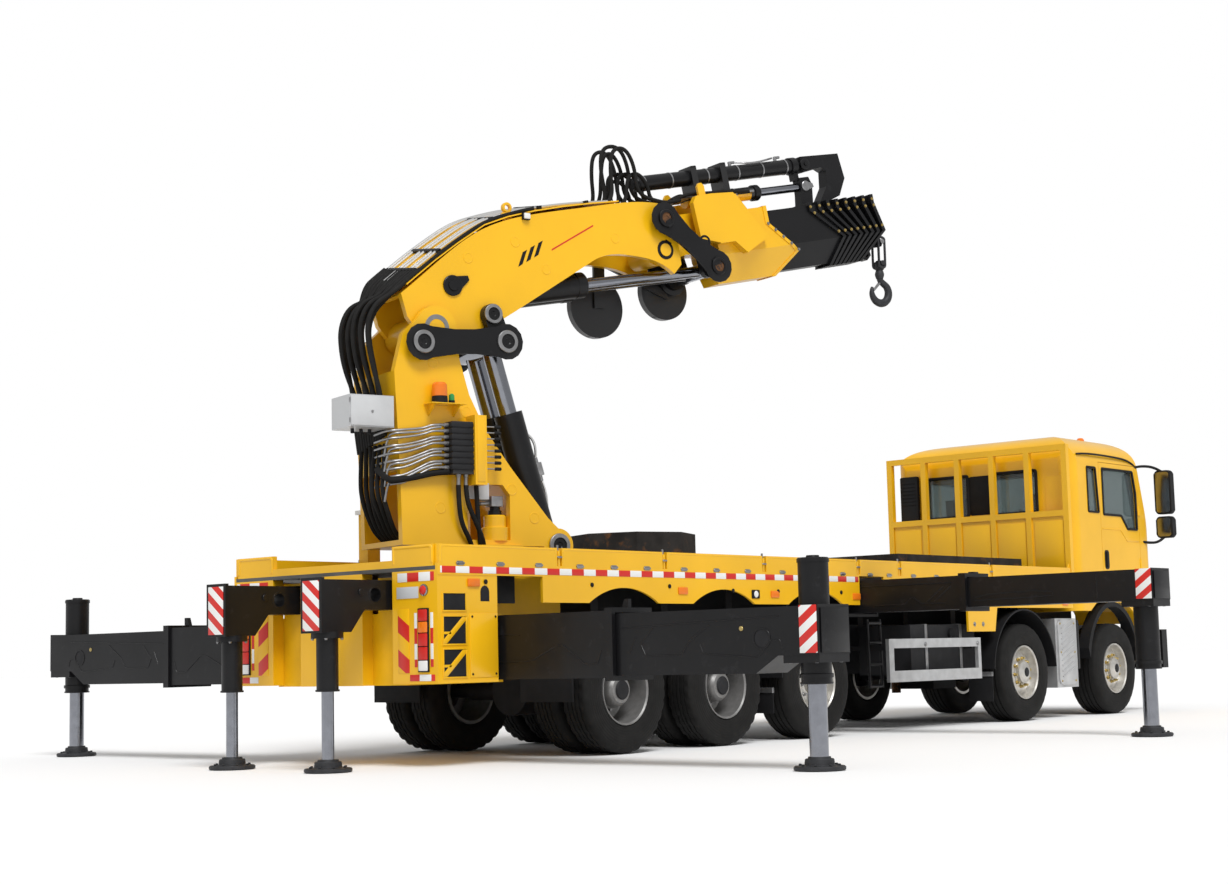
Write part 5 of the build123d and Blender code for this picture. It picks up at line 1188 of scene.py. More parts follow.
# %% mirrors, visor, grille and lamps
UPPER_ARM = ((6.08, 1.21, 3.02), (6.20, 1.25, 3.05), (6.40, 1.36, 3.03), (6.47, 1.42, 2.96))
LOWER_ARM = ((6.20, 1.20, 2.10), (6.30, 1.25, 2.08), (6.42, 1.36, 2.09), (6.47, 1.42, 2.18))
HEADLAMP = [(0, 0.062), (0.006, 0.058), (0.010, 0.03), (0.011, 0)]
arms = []
front = Piece("cab_front", "truck")
for sign in (1, -1):
    arms += [[(x, sign * y, z) for x, y, z in arm] for arm in (UPPER_ARM, LOWER_ARM)]
    for low, high in ((2.44, 2.99), (2.14, 2.41)):
        mirror = rounded(1.33, 1.51, low + 0.02, high - 0.02, 0.035)
        front.cross_sheet(6.53, rounded(1.31, 1.53, low, high, 0.045), -0.105, "plastic", 0.018, sign)
        front.cross_sheet(6.423, mirror, 0.004, "chrome", 0.0, sign)
    front.cross_sheet(6.44, rounded(0.78, 1.10, 1.12, 1.32, 0.05), 0.045, "plastic", 0.012, sign)
    for y in (0.87, 1.01):
        front.turn((6.482, sign * y, 1.22), X, HEADLAMP, "white", 24)
    front.side_block(sign, (6.462, 0.6, 1.17), (6.478, 0.76, 1.25), "orange", 0.005)
    front.cross_sheet(6.345, rounded(0.20, 0.26, 2.20, 2.26, 0.02), 0.05, "plastic", 0.005, sign)
front.cross_sheet(6.465, rounded(-0.86, 0.86, 1.45, 2.02, 0.06), 0.012, "dark", 0.003)
for n in range(6):
    z = 1.50 + 0.085 * n
    front.block((6.474, -0.82, z), (6.488, 0.82, z + 0.045), "black", 0.006)
visor = [(6.12, p, q) for p, q in rounded(-1.05, 1.05, 3.055, 3.20, 0.04)]
front.prism(visor, Vector((0.12, 0, -0.03)), "plastic", 0.01)
front.done()
pipes("mirror_arms", "truck", arms, 0.017, "plastic")
blades = [[(6.335, y, 2.235), (6.31, y + 0.05, 2.34), (6.22, y + 0.45, 2.62)] for y in (-0.75, 0.05)]
pipes("wipers", "truck", blades, 0.010, "plastic")

# %% [markdown]
# The cab's rear wall shows behind the guard: pressed panels, a black air intake with slats beside
# the windows, and two amber lamps on the roof.

# %% rear wall and roof lamps
REAR_WALL = 4.402
rear = Piece("cab_rear", "truck")
rear.block((4.325, 0.86, 1.62), (4.392, 1.12, 2.98), "plastic", 0.02)
for n in range(7):
    rear.block((4.318, 0.89, 2.62 + 0.045 * n), (4.33, 1.09, 2.64 + 0.045 * n), "plastic", 0.004)
for y in (-1.0, 1.0):
    rear.cross_sheet(REAR_WALL, rounded(y - 0.12, y + 0.12, 1.75, 2.85, 0.05), -0.008, "yellow", 0.003)
rear.cross_sheet(REAR_WALL, rounded(-0.75, 0.75, 1.62, 2.30, 0.06), -0.010, "yellow", 0.003)
rear.cross_sheet(REAR_WALL, rounded(-0.17, 0.17, 2.44, 2.92, 0.04), -0.006, "plastic", 0.002)
for sign in (1, -1):
    rear.turn((5.6, sign * 0.75, 3.33), UP, [(0, 0.05), (0.05, 0.046), (0.07, 0.03), (0.075, 0)], "orange",
              20)
rear.done()

# %% [markdown]
# Under the cab the black plastic of the wheel arch and the steps closes the gap down to the bumper.
# The arch keeps clear of the wheel's whole steering swing.

# %% arches and steps
def arc_line(radius_x, radius_z, degrees):
    """An arc round the first axle, flattened a little."""
    turns = [math.radians(degree) for degree in degrees]
    return [(AXLE_X[0] + radius_x * math.cos(t), AXLE_Z + radius_z * math.sin(t)) for t in turns]


arch_band = arc_line(0.70, 0.80, range(18, 171, 9)) + arc_line(0.635, 0.745, range(170, 17, -9))
for side, sign in SIDES:
    arch = Piece(f"cab_arch_{side}", "truck")
    arch.side_sheet(sign, 1.235, arch_band, -0.135, "plastic")
    for z in (0.62, 0.92):
        arch.side_block(sign, (5.98, 0.98, z), (6.36, 1.215, z + 0.035), "aluminium", 0.006)
    for x in (5.975, 6.345):
        arch.side_block(sign, (x, 1.0, 0.58), (x + 0.03, 1.205, 1.06), "plastic", 0.006)
    arch.side_block(sign, (6.0, 0.96, 0.58), (6.36, 0.985, 1.06), "plastic", 0.004)
    arch.done()

# %% [markdown]
# Every pin of the crane ends in something: a bright ring nut on the lifting links, a rusty face with a
# keeper plate on the knuckle. Each cap is turned round its own pin, on both sides of the crane.

# %% pin caps and keeper plates
def pin_cap(piece, pin, lateral, radius, ring_key, face_key, keeper=None, thick=0.020):
    """A ring with a dished face at both ends of a pin, and a keeper plate that points along keeper."""
    dish = [(0, 0.67), (0.5, 0.66), (0.6, 0.3), (0.3, 0.22), (0.3, 0)]
    half = 0.035
    for way in (-1, 1):
        spot = crane(*PIN[pin], way * lateral)
        axis = RIGHT * way
        piece.ring(spot, axis, radius, radius * 0.66, thick, ring_key, 40, thick / 4)
        piece.turn(spot, axis, [(thick * high, radius * wide) for high, wide in dish], face_key, 32)
        if keeper:
            reach = Vector(keeper[0] * ALONG + keeper[1] * UP).normalized()
            wide = reach.cross(axis).normalized() * half
            tip, heel = spot + reach * radius * 1.05, spot + reach * 0.02
            piece.prism([tip - wide, tip + wide, heel + wide, heel - wide], axis * thick * 0.8, "black",
                        thick * 0.15)


caps = Piece("column_pins", "column")
pin_cap(caps, "link_foot", 0.482, 0.100, "steel", "black")
pin_cap(caps, "heel", 0.3945, 0.118, "steel", "yellow", thick=0.005)
pin_cap(caps, "lift_foot", 0.405, 0.105, "steel", "black")
caps.done()
caps = Piece("lift_link_pins", "lift_link")
pin_cap(caps, "link_tip", 0.475, 0.100, "steel", "black")
caps.done()
caps = Piece("inner_boom_pins", "inner_boom")
pin_cap(caps, "boom_link", 0.399, 0.088, "steel", "black")
pin_cap(caps, "fold_link", 0.397, 0.082, "black", "rust", (0.6, -0.8))
pin_cap(caps, "knuckle", 0.3095, 0.090, "black", "rust", (0.4, 0.9), thick=0.005)
caps.done()
caps = Piece("knuckle_link_pins", "knuckle_link")
pin_cap(caps, "fold_tip", 0.390, 0.082, "black", "rust", (-0.6, 0.8))
caps.done()
caps = Piece("outer_boom_pins", "outer_boom")
pin_cap(caps, "fold_boom", 0.309, 0.066, "black", "dark", thick=0.005)
caps.done()

# %% [markdown]
# On the column's right wall sit the control valves: a black bank of sections behind a yellow cover,
# bright tubes that run back round the column, a lever for each section, and two hoses that go down to
# the slewing motor. Tubes and hoses follow the wall, so they ride on the column with it.

# %% valve bank, levers and tubes
bank = Piece("valve_bank", "column")
CRANE_AXES = (ALONG, RIGHT, UP)
LEVELS = [2.455 + 0.052 * n for n in range(8)]
for z in LEVELS:
    bank.block((-0.515, 0.405, z - 0.021), (-0.30, 0.545, z + 0.021), "dark", 0.006, COLUMN, CRANE_AXES)
    bank.rod(crane(-0.555, z, 0.475), crane(-0.50, z, 0.475), 0.019, "steel", 12)
    bank.rod(crane(-0.60, z, 0.475), crane(-0.55, z, 0.475), 0.013, "steel", 12)
    bank.rod(crane(-0.185, z, 0.49), crane(-0.07, z, 0.50), 0.006, "steel", 8)
    bank.rod(crane(-0.075, z, 0.50), crane(-0.015, z, 0.505), 0.015, "plastic", 12, 0.008)
bank.block((-0.275, 0.553, 2.335), (-0.20, 0.561, 2.885), "yellow", 0.003, COLUMN, CRANE_AXES)
bank.block((-0.30, 0.395, 2.20), (-0.08, 0.402, 2.34), "grey", 0.002, COLUMN, CRANE_AXES)
for u in (-0.418, -0.345):
    bank.rod(crane(u, 2.375, 0.475), crane(u, 2.455, 0.475), 0.024, "steel", 12)
    bank.rod(crane(u, 2.30, 0.472), crane(u, 2.38, 0.475), 0.018, "steel", 12)
    bank.rod(crane(u - 0.02, 2.435, 0.475), crane(u + 0.09, 2.435, 0.475), 0.016, "steel", 10)
bank.done()
tubes = []
for n, z in enumerate(LEVELS):
    drop = 0.05 + 0.012 * (7 - n)
    low, shift = z - drop, 0.006 * n
    tubes.append(crane_route(
        (-0.58, z, 0.475), (-0.66, z, 0.472), (-0.72, z - 0.03, 0.44), (-0.90, low, 0.425),
        (-0.985 - shift, low - 0.01, 0.40), (-1.01 - shift, low - 0.015, 0.33), (-1.02, low - 0.02, 0.10)))
    if n % 2:
        tubes.append(crane_route(
            (-0.58, z - 0.02, 0.475), (-0.64, z - 0.022, 0.47), (-0.74, z - 0.06, 0.445),
            (-0.90, low - 0.025, 0.43), (-0.99, low - 0.03, 0.41), (-1.02, low - 0.05, 0.34),
            (-1.03, low - 0.22, 0.30)))
pipes("valve_tubes", "column", tubes, 0.0105, "steel")
pipes("valve_hoses", "column", [
    crane_route((-0.418, 2.31, 0.472), (-0.415, 2.15, 0.47), (-0.385, 1.98, 0.46), (-0.30, 1.85, 0.44),
                (-0.26, 1.80, 0.40)),
    crane_route((-0.345, 2.31, 0.472), (-0.34, 2.18, 0.47), (-0.26, 2.02, 0.46), (-0.17, 1.86, 0.44),
                (-0.14, 1.80, 0.40)),
    crane_route((-0.24, 2.31, 0.46), (-0.23, 2.16, 0.46), (-0.22, 2.0, 0.45), (-0.19, 1.85, 0.43),
                (-0.17, 1.80, 0.40)),
], 0.021, "rubber")
pipes("wrapped_cable", "column", [
    crane_route((-0.44, 2.425, 0.47), (-0.60, 2.42, 0.45), (-0.80, 2.37, 0.43), (-0.97, 2.34, 0.42),
                (-1.03, 2.34, 0.36), (-1.05, 2.45, 0.2)),
], 0.028, "rubber")

# %% [markdown]
# A beacon and a small green lamp stand on a bracket. Behind the arched opening is the slewing motor:
# two yellow drums, a black neck and a bright port block. The post beside the column has a pale cap.

# %% beacon, slewing motor and post
fittings = Piece("column_fittings", "column")
fittings.block((-0.70, 0.39, 2.995), (-0.36, 0.55, 3.003), "yellow", 0.002, COLUMN, CRANE_AXES)
for u in (-0.66, -0.42):
    gusset = [crane(u, 2.995, 0.395), crane(u, 2.90, 0.395), crane(u, 2.995, 0.53)]
    fittings.prism(gusset, ALONG * 0.01, "yellow")
beacon = crane(-0.585, 3.003, 0.47)
fittings.turn(beacon, UP, [(0, 0), (0, 0.070), (0.06, 0.066), (0.062, 0)], "plastic", 28)
fittings.turn(beacon + UP * 0.06, UP, [(0, 0.062), (0.008, 0.066), (0.10, 0.063), (0.118, 0.05), (0.122, 0)],
              "orange", 28)
lamp = crane(-0.47, 3.003, 0.47)
fittings.turn(lamp, UP, [(0, 0.028), (0.03, 0.028), (0.03, 0.024)], "plastic", 18)
fittings.turn(lamp + UP * 0.03, UP, [(0, 0.025), (0.045, 0.024), (0.058, 0.012), (0.06, 0)], "green", 18)
motor = crane(0.03, 1.845, 0.30)
drums = [(0, 0), (0, 0.118), (0.115, 0.118), (0.12, 0.112), (0.12, 0.098), (0.215, 0.098), (0.225, 0.088),
         (0.225, 0)]
fittings.turn(motor, UP, drums, "yellow", 36)
fittings.turn(motor + UP * 0.225, UP, [(0, 0.058), (0.04, 0.058), (0.045, 0.046), (0.075, 0.046), (0.075, 0)],
              "black", 28)
fittings.block((-0.03, 0.245, 2.145), (0.085, 0.355, 2.235), "steel", 0.004, COLUMN, CRANE_AXES)
for z in (2.17, 2.21):
    fittings.rod(crane(-0.12, z, 0.30), crane(-0.03, z, 0.30), 0.018, "steel", 12)
    fittings.rod(crane(-0.16, z, 0.30), crane(-0.11, z, 0.30), 0.012, "steel", 12)
COLUMN_PLUGS = ((-0.291, 2.952), (0.153, 2.292), (0.376, 2.048), (-0.60, 3.36), (-0.78, 2.62), (-0.55, 2.12))
for u, z in COLUMN_PLUGS:
    for way in (-1, 1):
        fittings.turn(crane(u, z, way * 0.394), RIGHT * way,
                      [(0, 0.052), (0.004, 0.050), (0.005, 0.042), (0.003, 0.040), (0.003, 0)], "yellow", 28)
fittings.block((-0.93, -0.33, 2.95), (-0.985, 0.33, 2.99), "yellow", 0.004, COLUMN, CRANE_AXES)
fittings.block((-1.395, 0.424, 2.79), (-1.0, 0.430, 3.04), "grey", 0.002, COLUMN, CRANE_AXES)
for z in (2.83, 3.0):
    fittings.block((-1.40, 0.41, z - 0.02), (-1.405, 0.43, z + 0.02), "steel", 0.002, COLUMN, CRANE_AXES)
fittings.rod(crane(-1.20, 2.91, 0.43), crane(-1.20, 2.91, 0.436), 0.012, "steel", 12)
for u in (-1.30, -1.22, -1.14):
    fittings.rod(crane(u, 2.74, 0.25), crane(u, 2.785, 0.25), 0.016, "plastic", 12)
fittings.done()
post = Piece("post_cap", "truck")
post.block((-4.715, 1.035, 2.16), (-4.515, 1.205, 2.20), "white", 0.006)
post.block((-4.735, 1.02, 1.565), (-4.495, 1.22, 1.60), "yellow", 0.006)
post.done()
spots = [(Vector((x, y, 1.60)), Z) for x in (-4.715, -4.515) for y in (1.04, 1.20)]
bolts("post_bolts", "truck", spots, 0.011, 0.012, "steel")

# %% [markdown]
# Bright tubes run along the back of the inner boom in a close row, on a tray that rises towards the far
# side. At the heel they turn into hoses that fall back behind the column. The hoses cross the lifting
# joint; their mesh is baked in place and rides on neither the column nor the boom.

# %% tubes along the boom
BACK = [(-0.80, 4.045), (-0.527, 4.275), (-0.30, 4.45), (-0.025, 4.644), (0.22, 4.745), (0.491, 4.825),
        (0.80, 4.90), (1.10, 4.962), (1.40, 5.015)]
LANES = [-0.27 + 0.05 * n for n in range(12)]
TUBE_LANES = (-0.235, -0.175, -0.055, 0.005, 0.125, 0.185)
CLAMPS = ((-0.66, 4.163, 40), (-0.42, 4.357, 38), (0.10, 4.695, 20), (0.60, 4.851, 13), (1.10, 4.962, 11))
TRAY_RISE, TRAY_EDGE = 0.115, 0.305


def on_tray(u, z, lane, lift=0.0):
    """A place on the tray: the rise grows from the near edge to the far one and fades out ahead."""
    fade = min(1.0, max(0.0, (1.40 - u) / 0.75))
    rise = TRAY_RISE * fade * (TRAY_EDGE - lane) / (2 * TRAY_EDGE)
    back = 0.55 if u < 0.1 else 0.2
    return crane(u - rise * back, z + rise * 0.9 + lift, lane)


tray = Piece("tube_tray", "inner_boom")
for here, ahead in zip(BACK[:-1], BACK[1:]):
    ends = ((here, TRAY_EDGE), (ahead, TRAY_EDGE), (ahead, -TRAY_EDGE), (here, -TRAY_EDGE))
    tray.prism([on_tray(*spot, lane, 0.006) for spot, lane in ends], UP * -0.012, "yellow")
    far_wall = [on_tray(*here, -TRAY_EDGE), on_tray(*ahead, -TRAY_EDGE),
                crane(*ahead, -TRAY_EDGE) - UP * 0.02, crane(*here, -TRAY_EDGE) - UP * 0.02]
    tray.prism(far_wall, RIGHT * 0.012, "yellow")
for u, z, lean in CLAMPS:
    a = math.radians(lean)
    forward = ALONG * math.cos(a) + UP * math.sin(a)
    across = (on_tray(u, z, TRAY_EDGE) - on_tray(u, z, -TRAY_EDGE)).normalized()
    square = forward.cross(across)
    if square.z < 0:
        square = -square
    tray.block((-0.016, -0.20, 0.004), (0.016, 0.24, 0.036), "black", 0.003, on_tray(u, z, 0.0),
               (forward, across, square))
tray.done()
tubes = [[on_tray(u, z, lane, 0.021) for u, z in BACK] for lane in TUBE_LANES]
pipes("boom_tubes", "inner_boom", tubes, 0.0150, "silver")
pipes("boom_cable", "inner_boom", [[on_tray(u, z, 0.287, 0.024) for u, z in BACK[:6]]], 0.017, "rubber")

# %% [markdown]
# The boom's sides carry a lifting eye, a stop with a round boss, low round plugs, a small lamp, and a
# bare painted mark: three slanted bars and a red line.

# %% marks and fittings of the boom
STOP = ((0.03, 0.085), (0.15, 0.10), (0.165, 0.06), (0.09, -0.02))
BOSS = [(0, 0.092), (0.016, 0.092), (0.020, 0.086), (0.020, 0.05), (0.03, 0.046), (0.03, 0)]
BOOM_PLUG = [(0, 0.05), (0.004, 0.048), (0.005, 0.040), (0.003, 0.038), (0.003, 0)]
BAR = ((0, 0), (0.045, 0.028), (0.095, 0.165), (0.05, 0.138))
RED_LINE = ((0.66, 4.475), (1.11, 4.745), (1.11, 4.760), (0.66, 4.490))
MARK_FACE, MARK_THICK = 0.3095, 0.002
side_fittings = Piece("boom_fittings", "inner_boom")
side_fittings.block((0.20, 0.20, 4.60), (0.30, 0.235, 4.80), "yellow", 0.006, COLUMN, CRANE_AXES)
side_fittings.ring(crane(0.25, 4.845, 0.20), RIGHT, 0.048, 0.026, 0.035, "yellow", 24)
for way in (-1, 1):
    face = RIGHT * way
    hub = crane(-0.361, 4.068, way * 0.310)
    side_fittings.turn(hub, face, BOSS, "black", 32)
    side_fittings.prism([hub + ALONG * a + UP * b for a, b in STOP], face * 0.014, "black", 0.003)
    for u, z in ((0.281, 4.52), (-0.20, 4.33), (0.60, 4.30), (1.35, 4.66)):
        side_fittings.turn(crane(u, z, way * 0.309), face, BOOM_PLUG, "yellow", 28)
    for n in range(3):
        u, z = 0.307 + 0.083 * n, 4.295 + 0.050 * n
        bar = crane_outline([(u + a, z + b) for a, b in BAR], way * MARK_FACE)
        side_fittings.prism(bar, face * MARK_THICK, "black")
    side_fittings.prism(crane_outline(RED_LINE, way * MARK_FACE), face * MARK_THICK, "red")
side_fittings.block((0.36, 0.31, 4.735), (0.42, 0.355, 4.785), "white", 0.006, COLUMN, CRANE_AXES)
side_fittings.block((0.352, 0.305, 4.727), (0.428, 0.338, 4.793), "plastic", 0.006, COLUMN, CRANE_AXES)
side_fittings.done()

# %% [markdown]
# The links are forged dog-bones, wide round each eye and narrow between. Cheek plates with that outline
# lie on the outside of both pairs of links.

# %% cheeks of the links
def dog_bone(first, last, radius, waist):
    """Outline of a link: an arc round each eye, drawn in to a waist between them."""
    a, b = Vector((first[0], first[1])), Vector((last[0], last[1]))
    along = (b - a).normalized()
    across = Vector((-along.y, along.x))
    middle, step = (a + b) / 2, along * 0.12 * (b - a).length
    line = []
    for centre, sign in ((a, -1), (b, 1)):
        for degree in range(-125, 126, 25):
            t = math.radians(degree)
            line.append(centre + (along * math.cos(t) + across * math.sin(t)) * sign * radius)
        line += [middle + step * sign + across * sign * waist, middle - step * sign + across * sign * waist]
    return line


LINKS = (("lift_link", "link_foot", "link_tip", 0.464, 0.160, 0.108),
         ("knuckle_link", "fold_link", "fold_tip", 0.379, 0.155, 0.098))
for name, first, last, lateral, radius, waist in LINKS:
    cheeks = Piece(f"{name}_cheeks", name)
    outline = dog_bone(PIN[first], PIN[last], radius, waist)
    for way in (-1, 1):
        cheeks.prism(crane_outline(outline, way * lateral), RIGHT * way * 0.012, "black", 0.003)
    cheeks.done()

# %% [markdown]
# Behind the column the hoses hang in a dense bundle, from the boom's heel down to the base.

# %% hoses over the heel
hoses, drops = [], []
for n, lane in enumerate(LANES):
    bulge = 0.020 * ((n * 7) % 5)
    rise = crane_route(
        (-1.00, 2.62 + 0.01 * n, lane * 0.9), (-1.02, 2.85, lane), (-1.04 - bulge * 0.3, 3.10, lane),
        (-1.08 - bulge, 3.32, lane), (-1.12 - bulge, 3.50, lane), (-1.13 - bulge, 3.66 + bulge * 0.5, lane),
        (-1.07 - bulge * 0.7, 3.81 + bulge, lane), (-0.97, 3.91 + bulge * 0.6, lane))
    hoses.append(rise + [on_tray(-0.86, 3.99, lane, 0.02), on_tray(-0.76, 4.08, lane, 0.022),
                         on_tray(-0.66, 4.163, lane, 0.022)])
    if n % 2:
        drops.append(crane_route(
            (-1.0, 2.66, lane * 0.9), (-1.01 - bulge * 0.4, 2.45, lane * 0.9 + 0.03),
            (-1.03 - bulge * 0.5, 2.25, lane * 0.8 + 0.06), (-0.98, 2.05, lane * 0.8 + 0.05),
            (-0.88, 1.90, lane * 0.7), (-0.80, 1.845, lane * 0.6)))
pipes("column_hoses", "column", drops, 0.0205, "rubber")
pipes("heel_hoses", "column", hoses, 0.0205, "rubber",
      bend=("column", "inner_boom", crane(-1.08, 3.22), crane(-0.92, 3.97)))

# %% [markdown]
# Each lifting cylinder carries its own valve block with two pipes, on the side that faces forward.

# %% valves of the lifting cylinders
lift_foot = Vector(PIN["lift_foot"])
lift_dir = (Vector(PIN["link_tip"]) - lift_foot).normalized()


def on_lift(along, out, right):
    """A place beside the lifting cylinder: along it from its foot, and out in front of it."""
    return crane(lift_foot.x + lift_dir.x * along + lift_dir.y * out,
                 lift_foot.y + lift_dir.y * along - lift_dir.x * out, right)


lift_axes = (ALONG * lift_dir.y - UP * lift_dir.x, RIGHT, ALONG * lift_dir.x + UP * lift_dir.y)
valves = Piece("lift_valves", "lift_barrels")
runs = []
for lane in (-0.15, 0.15):
    valves.block((0.125, -0.035, 0.62), (0.185, 0.035, 0.74), "steel", 0.006, on_lift(0, 0, lane), lift_axes)
    for along in (0.60, 0.76):
        valves.rod(on_lift(along - 0.03, 0.155, lane), on_lift(along + 0.03, 0.155, lane), 0.018, "steel", 12)
    upper = ((0.78, 0.155, 0), (0.86, 0.17, 0.03), (0.97, 0.16, 0.03), (1.02, 0.128, 0))
    lower = ((0.58, 0.155, 0), (0.48, 0.18, -0.02), (0.36, 0.16, -0.02), (0.30, 0.128, 0))
    runs += [[on_lift(along, out, lane + aside) for along, out, aside in run] for run in (upper, lower)]
valves.done()
pipes("lift_valve_pipes", "lift_barrels", runs, 0.012, "silver")

# %% [markdown]
# Over the knuckle the hoses stand up in loops, so that the outer boom can fold without pulling them.
# Their mesh is baked in place and rides on neither boom.

# %% hose loops over the knuckle
loops = []
for n in range(8):
    lane = -0.20 + 0.055 * n
    tall = 0.46 + 0.02 * ((n * 3) % 4) if n % 2 else 0.27 + 0.02 * (n % 3)
    start = 1.42 if n % 2 else 1.60
    lean = 0.04 * (n % 3)
    places = ((start - 0.06, 5.03), (start, 5.08), (start + 0.01 - lean, 5.06 + tall * 0.6),
              (start + 0.04 - lean, 5.06 + tall), (start + 0.15, 5.09 + tall),
              (start + 0.25, 5.06 + tall * 0.7), (start + 0.27, 5.13), (1.97, 5.09), (2.06, 5.10),
              (2.18, 5.135))
    loops.append(crane_outline(places, lane))
pipes("knuckle_hoses", "inner_boom", loops, 0.019, "rubber",
      bend=("inner_boom", "outer_boom", crane(1.68, 5.10), crane(2.02, 5.12)))
tubes = []
for n in range(6):
    lane = -0.15 + 0.06 * n
    tubes.append(outer_route((0.20, 0.36, lane), (0.30, 0.47, lane), (0.46, 0.485, lane - 0.01),
                             (0.62, 0.482, lane - 0.01)))
pipes("knuckle_tubes", "outer_boom", tubes, 0.012, "steel")

# %% [markdown]
# The outer boom's flared collar and the telescopes' bent head plates are bolted together at their
# shoulders. The bolts sit on the plates' edges at an even pitch, and each row rides on its own section.

# %% bolts of the collar and the head plates
for section in range(4):
    spots = []
    for plate in (2 * section, 2 * section + 1):
        shoulder, knee, foot = 1.911 + 0.118 * plate, 2.281 + 0.077 * plate, 2.112 + 0.058 * plate
        for way in (-1, 1):
            spots += [(outer(shoulder + 0.02, 0.235, way * 0.217), RIGHT * way),
                      (outer(shoulder + 0.02 + (knee - shoulder) * 0.10, 0.17, way * 0.217), RIGHT * way),
                      (outer(shoulder + 0.02 + (knee - shoulder) * 0.82, -0.045, way * 0.217), RIGHT * way)]
    bolts(f"head_bolts_{section + 1}", f"tele_{section + 1}", spots, 0.0115, 0.012, "brass")
spots = []
for way in (-1, 1):
    for share in (0.02, 0.25, 0.5, 0.75, 0.98):
        spots.append((outer(1.334 + share * 0.33, 0.13 - share * 0.305, way * 0.237), RIGHT * way))
bolts("cover_bolts", "outer_boom", spots, 0.012, 0.012, "steel")

# %% [markdown]
# Both extension cylinders carry clamps, ports and pipes. The clamps are bright bands, the ports are
# short elbows, and a keeper holds the lower rod's eye.

# %% cylinder fittings
TOP_T, LOW_T, EYE_SIDE = 0.690, 0.470, 0.055
KEEPER = ((0.0, 0.05), (0.09, 0.02), (0.10, -0.02), (0.0, -0.05))
BOOM_AXES = (BOOM, RIGHT, SQUARE)
jacket = Piece("top_cylinder_bands", "tele_1")
for s in (0.10, 0.42, 0.86, 1.24, 1.55, 1.86):
    jacket.ring(outer(s, TOP_T), BOOM, 0.0785, 0.0745, 0.016, "steel", 36, 0.002)
jacket.turn(outer(0.03, TOP_T), -BOOM,
            [(0, 0.0755), (0.012, 0.072), (0.02, 0.05), (0.035, 0.045), (0.035, 0)],
            "black", 32)
jacket.turn(outer(1.93, TOP_T), BOOM, [(0, 0.076), (0, 0.088), (0.07, 0.088), (0.08, 0.080), (0.08, 0.056)],
            "black", 36)
for s in (1.20, 1.78):
    jacket.rod(outer(s, TOP_T + 0.06), outer(s, TOP_T + 0.115), 0.018, "steel", 12)
    jacket.rod(outer(s - 0.01, TOP_T + 0.105), outer(s + 0.06, TOP_T + 0.105), 0.014, "steel", 12)
for way in (-1, 1):
    eye = outer(2.06, LOW_T, way * EYE_SIDE)
    jacket.turn(eye, RIGHT * way, [(0, 0.052), (0.012, 0.052), (0.016, 0.046), (0.016, 0)], "steel", 28)
    jacket.prism([eye + BOOM * a + SQUARE * b for a, b in KEEPER], RIGHT * way * 0.010, "steel", 0.002)
jacket.done()
top_run = outer_route((1.25, TOP_T + 0.105, 0.0), (1.31, TOP_T + 0.09, 0.05), (1.37, TOP_T + 0.07, 0.075),
                      (1.5, TOP_T + 0.07, 0.078), (1.65, TOP_T + 0.09, 0.05), (1.74, TOP_T + 0.105, 0.0))
pipes("top_cylinder_pipe", "tele_1", [top_run], 0.010, "steel")
barrel = Piece("lower_cylinder_fittings", "outer_boom")
barrel.turn(outer(1.40, LOW_T), BOOM, [(0, 0.069), (0, 0.080), (0.06, 0.080), (0.072, 0.072), (0.072, 0.046)],
            "black", 36)
for s in (0.80, 1.15):
    barrel.ring(outer(s, LOW_T), BOOM, 0.0715, 0.0675, 0.02, "steel", 36, 0.002)
for s in (0.62, 1.34):
    barrel.rod(outer(s, LOW_T, 0.05), outer(s, LOW_T + 0.01, 0.105), 0.016, "steel", 12)
    barrel.rod(outer(s - 0.05, LOW_T + 0.01, 0.10), outer(s + 0.012, LOW_T + 0.01, 0.10), 0.013, "steel", 12)
for s in (0.645, 1.005):
    barrel.block((s, -0.105, 0.775), (s + 0.06, 0.105, 0.792), "black", 0.004, KNUCKLE, BOOM_AXES)
barrel.done()
pipes("lower_cylinder_hoses", "outer_boom", [
    outer_route((0.57, LOW_T + 0.01, 0.10), (0.50, 0.50, 0.12), (0.40, 0.52, 0.13), (0.28, 0.47, 0.13)),
    outer_route((1.29, LOW_T + 0.01, 0.10), (1.15, 0.485, 0.13), (0.95, 0.50, 0.16), (0.70, 0.50, 0.18),
                (0.48, 0.52, 0.18), (0.30, 0.47, 0.17)),
], 0.017, "rubber")
EYE_CAP = [(0, 0.058), (0.012, 0.058), (0.016, 0.05), (0.016, 0.02), (0.026, 0.018), (0.026, 0)]
strut = Piece("bracket_strut", "tele_2")
strut.rod(outer(2.45, 0.46, 0.0), outer(2.30, 0.30, 0.0), 0.028, "black", 16)
for way in (-1, 1):
    strut.turn(outer(2.10, TOP_T, way * 0.060), RIGHT * way, EYE_CAP, "black", 28)
strut.done()

# %% [markdown]
# The hook is a forging: thick at its back and thin at its tip. A curve whose points swell and shrink
# gives that. It hangs from the tip's lug by two oval links, a cross pin and a swivel, with a spring
# latch across its mouth. The new mesh stands for the plain hook.

# %% forged hook
HOOK = outer(2.925, -0.195)


def hang(u, z, right=0.0):
    return HOOK + ALONG * u + UP * z + RIGHT * right


